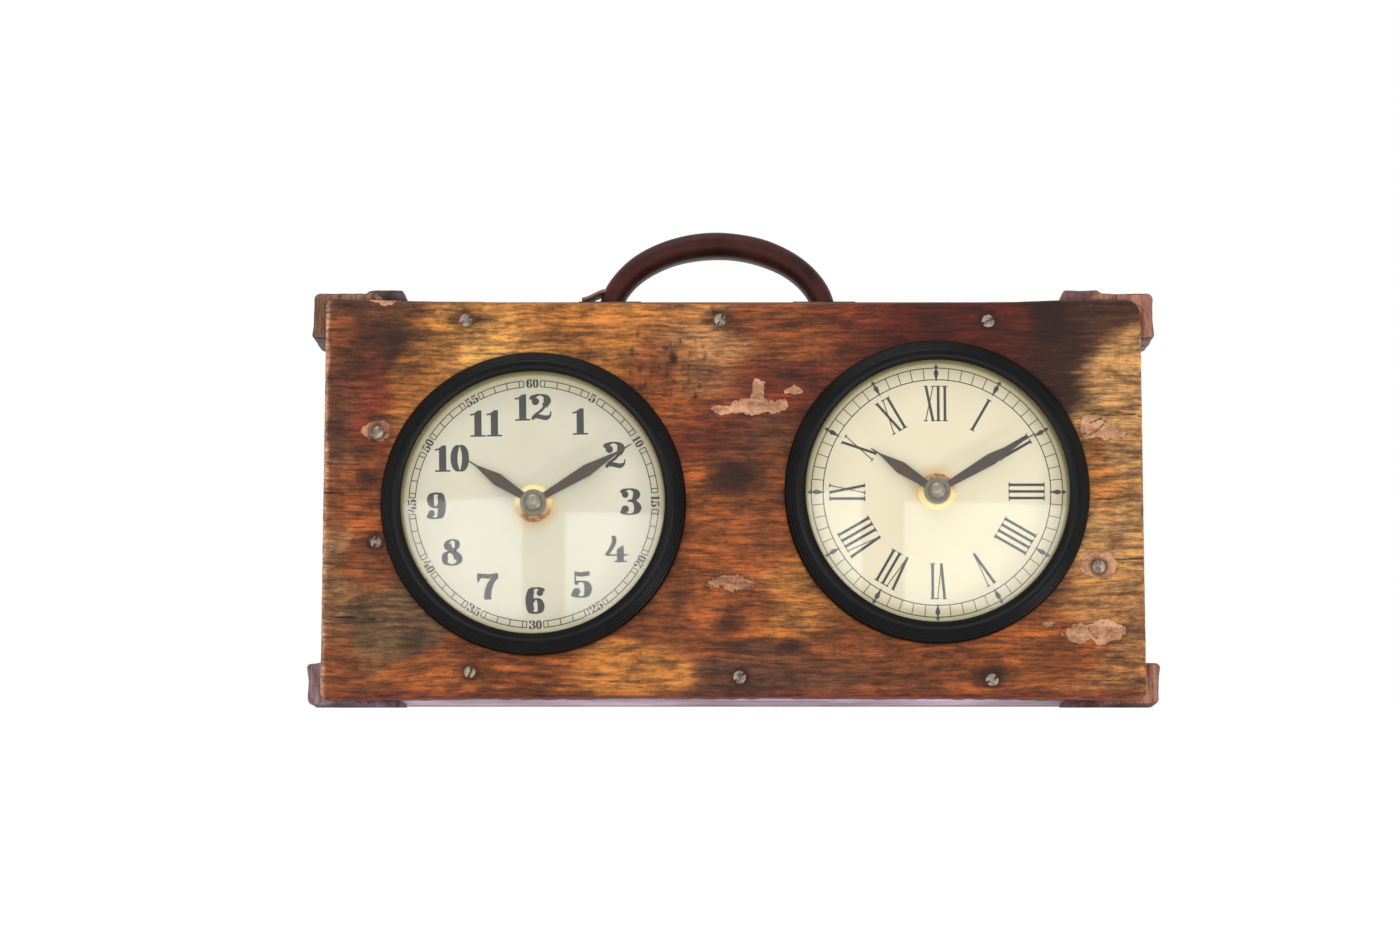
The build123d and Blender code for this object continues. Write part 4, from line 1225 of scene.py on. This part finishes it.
def make_handle():
    """A flattened round section carried along half an ellipse.

    The middle line is (A sin t, B cos t); the section stands across it, half as thick as the arch there on
    sgn(cos q)|cos q|^0.8 and half its width on sgn(sin q)|sin q|^0.8 along Y."""
    low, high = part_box("handle_grip")
    half_span, half_height = 36.7 * MM, 25.7 * MM
    crown_half, foot_half = 4.4 * MM, 3.7 * MM
    half_wide = (high.y - low.y) / 2
    middle_x, middle_y = (low.x + high.x) / 2, (low.y + high.y) / 2
    centre_z = high.z - crown_half - half_height
    reach = math.acos((low.z - centre_z) / half_height)
    stations, section = 140, 48
    q = np.linspace(0, 2 * math.pi, section, endpoint=False)
    angle, q = np.meshgrid(np.linspace(-reach, reach, stations), q, indexing="ij")
    swell = 1 + 0.012 * waves(angle * 40, q, 20, 31)
    half_thick = foot_half + (crown_half - foot_half) * np.cos(angle)
    out = half_thick * np.sign(np.cos(q)) * np.abs(np.cos(q)) ** 0.8 * swell
    side = half_wide * np.sign(np.sin(q)) * np.abs(np.sin(q)) ** 0.8 * swell
    out_x, out_z = half_height * np.sin(angle), half_span * np.cos(angle)
    length = np.hypot(out_x, out_z)
    x = np.clip(middle_x + half_span * np.sin(angle) + out * out_x / length, low.x, high.x)
    z = np.clip(centre_z + half_height * np.cos(angle) + out * out_z / length, low.z, high.z)
    y = np.clip(middle_y + side, low.y, high.y)
    points = np.stack([x, y, z], axis=-1).reshape(-1, 3)
    faces = closed_grid(stations, section, wrap_columns=True).tolist()
    faces += [list(range(section)), list(range((stations - 1) * section, stations * section))]
    about = {"slot": "handle_leather", "replaces": ["handle_grip"]}
    face_outwards(new_piece("leather_handle", points, faces, handle_leather(), **about))


def make_handle_tab():
    """A dark leather tongue that runs out of the left foot: a strip whose middle line falls as cos^2."""
    low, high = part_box("handle_grip")
    stations, across = 24, 9
    t, w = np.meshgrid(np.linspace(0, 1, stations), np.linspace(-1, 1, across), indexing="ij")
    x = low.x + 2.5 * MM - 8.5 * MM * t
    z = low.z + 2.2 * MM + 2.6 * MM * np.cos(t * math.pi / 2) ** 2 + 0.2 * MM * w**2
    y = (low.y + high.y) / 2 + 5.0 * MM * w * (1 - 0.35 * t**2)
    upper = np.stack([x, y, z], axis=-1).reshape(-1, 3)
    lower = upper - np.array([0, 0, 1.1 * MM])
    count = len(upper)
    top = closed_grid(stations, across)
    rim = ring_of(np.arange(count).reshape(stations, across))
    wall = np.stack([rim, np.roll(rim, -1), np.roll(rim, -1) + count, rim + count], axis=1)
    faces = np.concatenate([top, top[:, ::-1] + count, wall]).tolist()
    tab = new_piece("handle_tab", np.concatenate([upper, lower]), faces, bpy.data.materials["handle_leather"])
    face_outwards(tab)


make_handle()
make_handle_tab()


guard_span = 26.0


def guard_outline(level):
    """The strap's outline in mm from the box's corner, outwards and away, as the solids have it."""
    leg, leg_side, thick_side, lip, rise, flare, cut = 25.0, 12.0, 6.0, 13.5, 1.1, 0.5, 1.8
    thick = 3.7 if level > 0 else 2.0
    start = leg - lip
    return [
        (0.0, 0.0),
        (-leg, 0.0),
        (-leg, thick * 0.8),
        (-leg + rise, thick + rise),
        (-start - rise, thick + rise),
        (-start, thick),
        (thick_side - cut, thick),
        (thick_side - cut / 3, thick - cut / 3),
        (thick_side, thick - cut),
        (thick_side, -leg_side / 2),
        (thick_side + flare, -leg_side + 2 * flare),
        (thick_side - flare, -leg_side),
        (0.0, -leg_side - flare),
    ]


def make_guard(side, level, node, material, seed):
    """The outline is resampled evenly and carried along Y; rings near each end shrink to round the edges.

    Every ring is moved in by lumps of slow noise, and the end rings close on the outline's middle line."""
    corner_x = side * box_high.x
    corner_z = box_high.z if level > 0 else box_low.z
    outline = np.array(guard_outline(level))
    closed = np.concatenate([outline, outline[:1]])
    lengths = np.hypot(*np.diff(closed, axis=0).T)
    walk = np.concatenate([[0], np.cumsum(lengths)])
    at = np.linspace(0, walk[-1], 240, endpoint=False)
    loop = np.stack([np.interp(at, walk, closed[:, k]) for k in (0, 1)], axis=1)
    for _ in range(2):
        loop = (np.roll(loop, 1, 0) + 2 * loop + np.roll(loop, -1, 0)) / 4
    along = np.roll(loop, -1, 0) - np.roll(loop, 1, 0)
    inward = np.stack([along[:, 1], -along[:, 0]], axis=1)
    inward /= np.linalg.norm(inward, axis=1, keepdims=True)
    backed = (loop[:, 0] < 0.3) & (loop[:, 1] < 0.3)
    raised = np.clip((-loop[:, 0] - 11.5) / 2, 0, 1)
    low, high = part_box(node)
    span = guard_span
    depth = np.array([0, 0.1, 0.3, 0.6, 1.1, 2.0] + list(np.linspace(3.5, span - 3.5, 14)))
    depth = np.concatenate([depth, span - depth[5::-1]])
    rings, masks = [], []
    for d in depth:
        edge = min(d, span - d)
        press = 0.55 * (1 - min(1.0, edge / 0.9)) ** 2
        lump = 0.13 * (1 + waves(loop[:, 0] + 20 * seed, loop[:, 1] + d, 7, seed))
        inset = (press + lump) * np.where(backed, 0.15, 1.0)
        ring = loop + inward * inset[:, None]
        rings.append(np.stack([ring[:, 0], np.full(len(ring), d), ring[:, 1]], axis=1))
        masks.append((edge < 0.05) * (1 - 0.8 * raised))
    points = np.concatenate(rings)
    world = np.stack(
        [
            corner_x + side * points[:, 0] * MM,
            low.y + points[:, 1] / span * (high.y - low.y),
            corner_z + level * points[:, 2] * MM,
        ],
        axis=1,
    )
    world[:, 2] = np.clip(world[:, 2], low.z, high.z)
    world[:, 0] = np.clip(world[:, 0], low.x, high.x)
    faces = closed_grid(len(depth), len(loop), wrap_columns=True).tolist()
    last = (len(depth) - 1) * len(loop)
    faces += [list(range(len(loop))), list(range(last, last + len(loop)))]
    piece = new_piece(node + "_leather", world, faces, material, slot="guard_leather", replaces=[node])
    layer = piece.data.attributes.new("cut", "FLOAT", "POINT")
    layer.data.foreach_set("value", np.concatenate(masks))
    face_outwards(piece)


# Leather of the guards: cut ends light and dark, skin light and dark
tan_guard = guard_leather("tan_guard", (152, 108, 80), (84, 54, 42), (98, 76, 74), (50, 36, 38))
red_guard = guard_leather("red_guard", (172, 118, 94), (96, 56, 46), (128, 90, 88), (66, 44, 46))
# The bottom left guard's plum-grey skin and cut ends are a painted reflection of pinkish light thrown up from
# below.
guard_painted_reflection = guard_leather("guard_painted_reflection", (152, 122, 124), (88, 64, 66), (150, 128, 140), (84, 66, 76))
make_guard(-1, 1, "top_left_guard", tan_guard, 1)
make_guard(1, 1, "top_right_guard", red_guard, 2)
make_guard(-1, -1, "bottom_left_guard", guard_painted_reflection, 3)
make_guard(1, -1, "bottom_right_guard", red_guard, 4)


# Floor, light and camera


def flat_sheet(name, x0, x1, y0, y1, z, material):
    mesh = bpy.data.meshes.new(name)
    mesh.from_pydata([(x0, y0, z), (x1, y0, z), (x1, y1, z), (x0, y1, z)], [], [(0, 1, 2, 3)])
    sheet = bpy.data.objects.new(name, mesh)
    bpy.context.scene.collection.objects.link(sheet)
    sheet.data.materials.append(material)


pale = Finish("pale_floor", roughness=0.8)
pale.shader.inputs["Base Color"].default_value = (0.92, 0.92, 0.92, 1)
pale.shader.inputs["Emission Color"].default_value = (1, 1, 1, 1)
pale.shader.inputs["Emission Strength"].default_value = 0.3
# The photograph looks up at a strip of the clock's underside, so the floor starts under its front.
floor_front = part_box("bottom_left_guard")[0].y - 3 * MM
flat_sheet("floor", -6.0, 6.0, floor_front, 14.0, 0.0, pale.material)

world = bpy.data.worlds.new("studio")
bpy.context.scene.world = world
world.use_nodes = True
world.node_tree.nodes["Background"].inputs["Color"].default_value = (1, 1, 1, 1)
world.node_tree.nodes["Background"].inputs["Strength"].default_value = 1.0


def softbox(name, place, aim, size, power):
    lamp = bpy.data.lights.new(name, "AREA")
    lamp.shape = "RECTANGLE"
    lamp.size, lamp.size_y = size
    lamp.energy = power
    lamp.color = (0.94, 0.97, 1.0)
    lamp_object = bpy.data.objects.new(name, lamp)
    bpy.context.scene.collection.objects.link(lamp_object)
    lamp_object.location = place
    direction = np.array(aim) - np.array(place)
    yaw = math.atan2(direction[0], -direction[1])
    pitch = math.atan2(math.hypot(direction[0], direction[1]), -direction[2])
    lamp_object.rotation_euler = (pitch, 0, yaw + math.pi)


# Two window panes behind the camera, with a gap between them, mirror in the lower half of both glasses; the
# low lamp on the right catches the lower right of the bezels.
softbox("left_window", (-0.52, -1.30, 0.0), (-0.52, 0, 0.0), (0.68, 0.50), 3.4)
softbox("right_window", (0.36, -1.30, -0.03), (0.36, 0, -0.03), (0.72, 0.44), 3.2)
softbox("overhead_softbox", (-0.2, -0.5, 1.3), (0, 0, 0.07), (0.9, 0.6), 7.0)
softbox("low_side_lamp", (0.75, -0.42, -0.42), (0, 0, 0.07), (0.12, 0.30), 3.0)

# Camera: 7.7 degrees below level and 1166 mm from the middle of the plank's face. The shifts, in pixels of the
# 1400 x 933 photograph, put that middle where the photograph has it.
camera_below = math.radians(7.7)
camera_distance = 1.166
focal_pixels = 3530.0
frame_width = 1400.0
aim = (0.0, plank_front, plank_bottom + plank_height / 2)
camera_data = bpy.data.cameras.new("camera")
sensor_width = 36.0
shift_x_pixels, shift_y_pixels = -33.3, 31.0
camera_data.sensor_width = sensor_width
camera_data.lens = sensor_width * focal_pixels / frame_width
camera_data.shift_x = shift_x_pixels / frame_width
camera_data.shift_y = shift_y_pixels / frame_width
camera = bpy.data.objects.new("camera", camera_data)
bpy.context.scene.collection.objects.link(camera)
camera.location = (
    aim[0],
    aim[1] - camera_distance * math.cos(camera_below),
    aim[2] - camera_distance * math.sin(camera_below),
)
camera.rotation_euler = (math.pi / 2 + camera_below, 0, 0)
camera_data.clip_start = 0.01
bpy.context.scene.camera = camera
bpy.context.scene.view_settings.view_transform = "Standard"
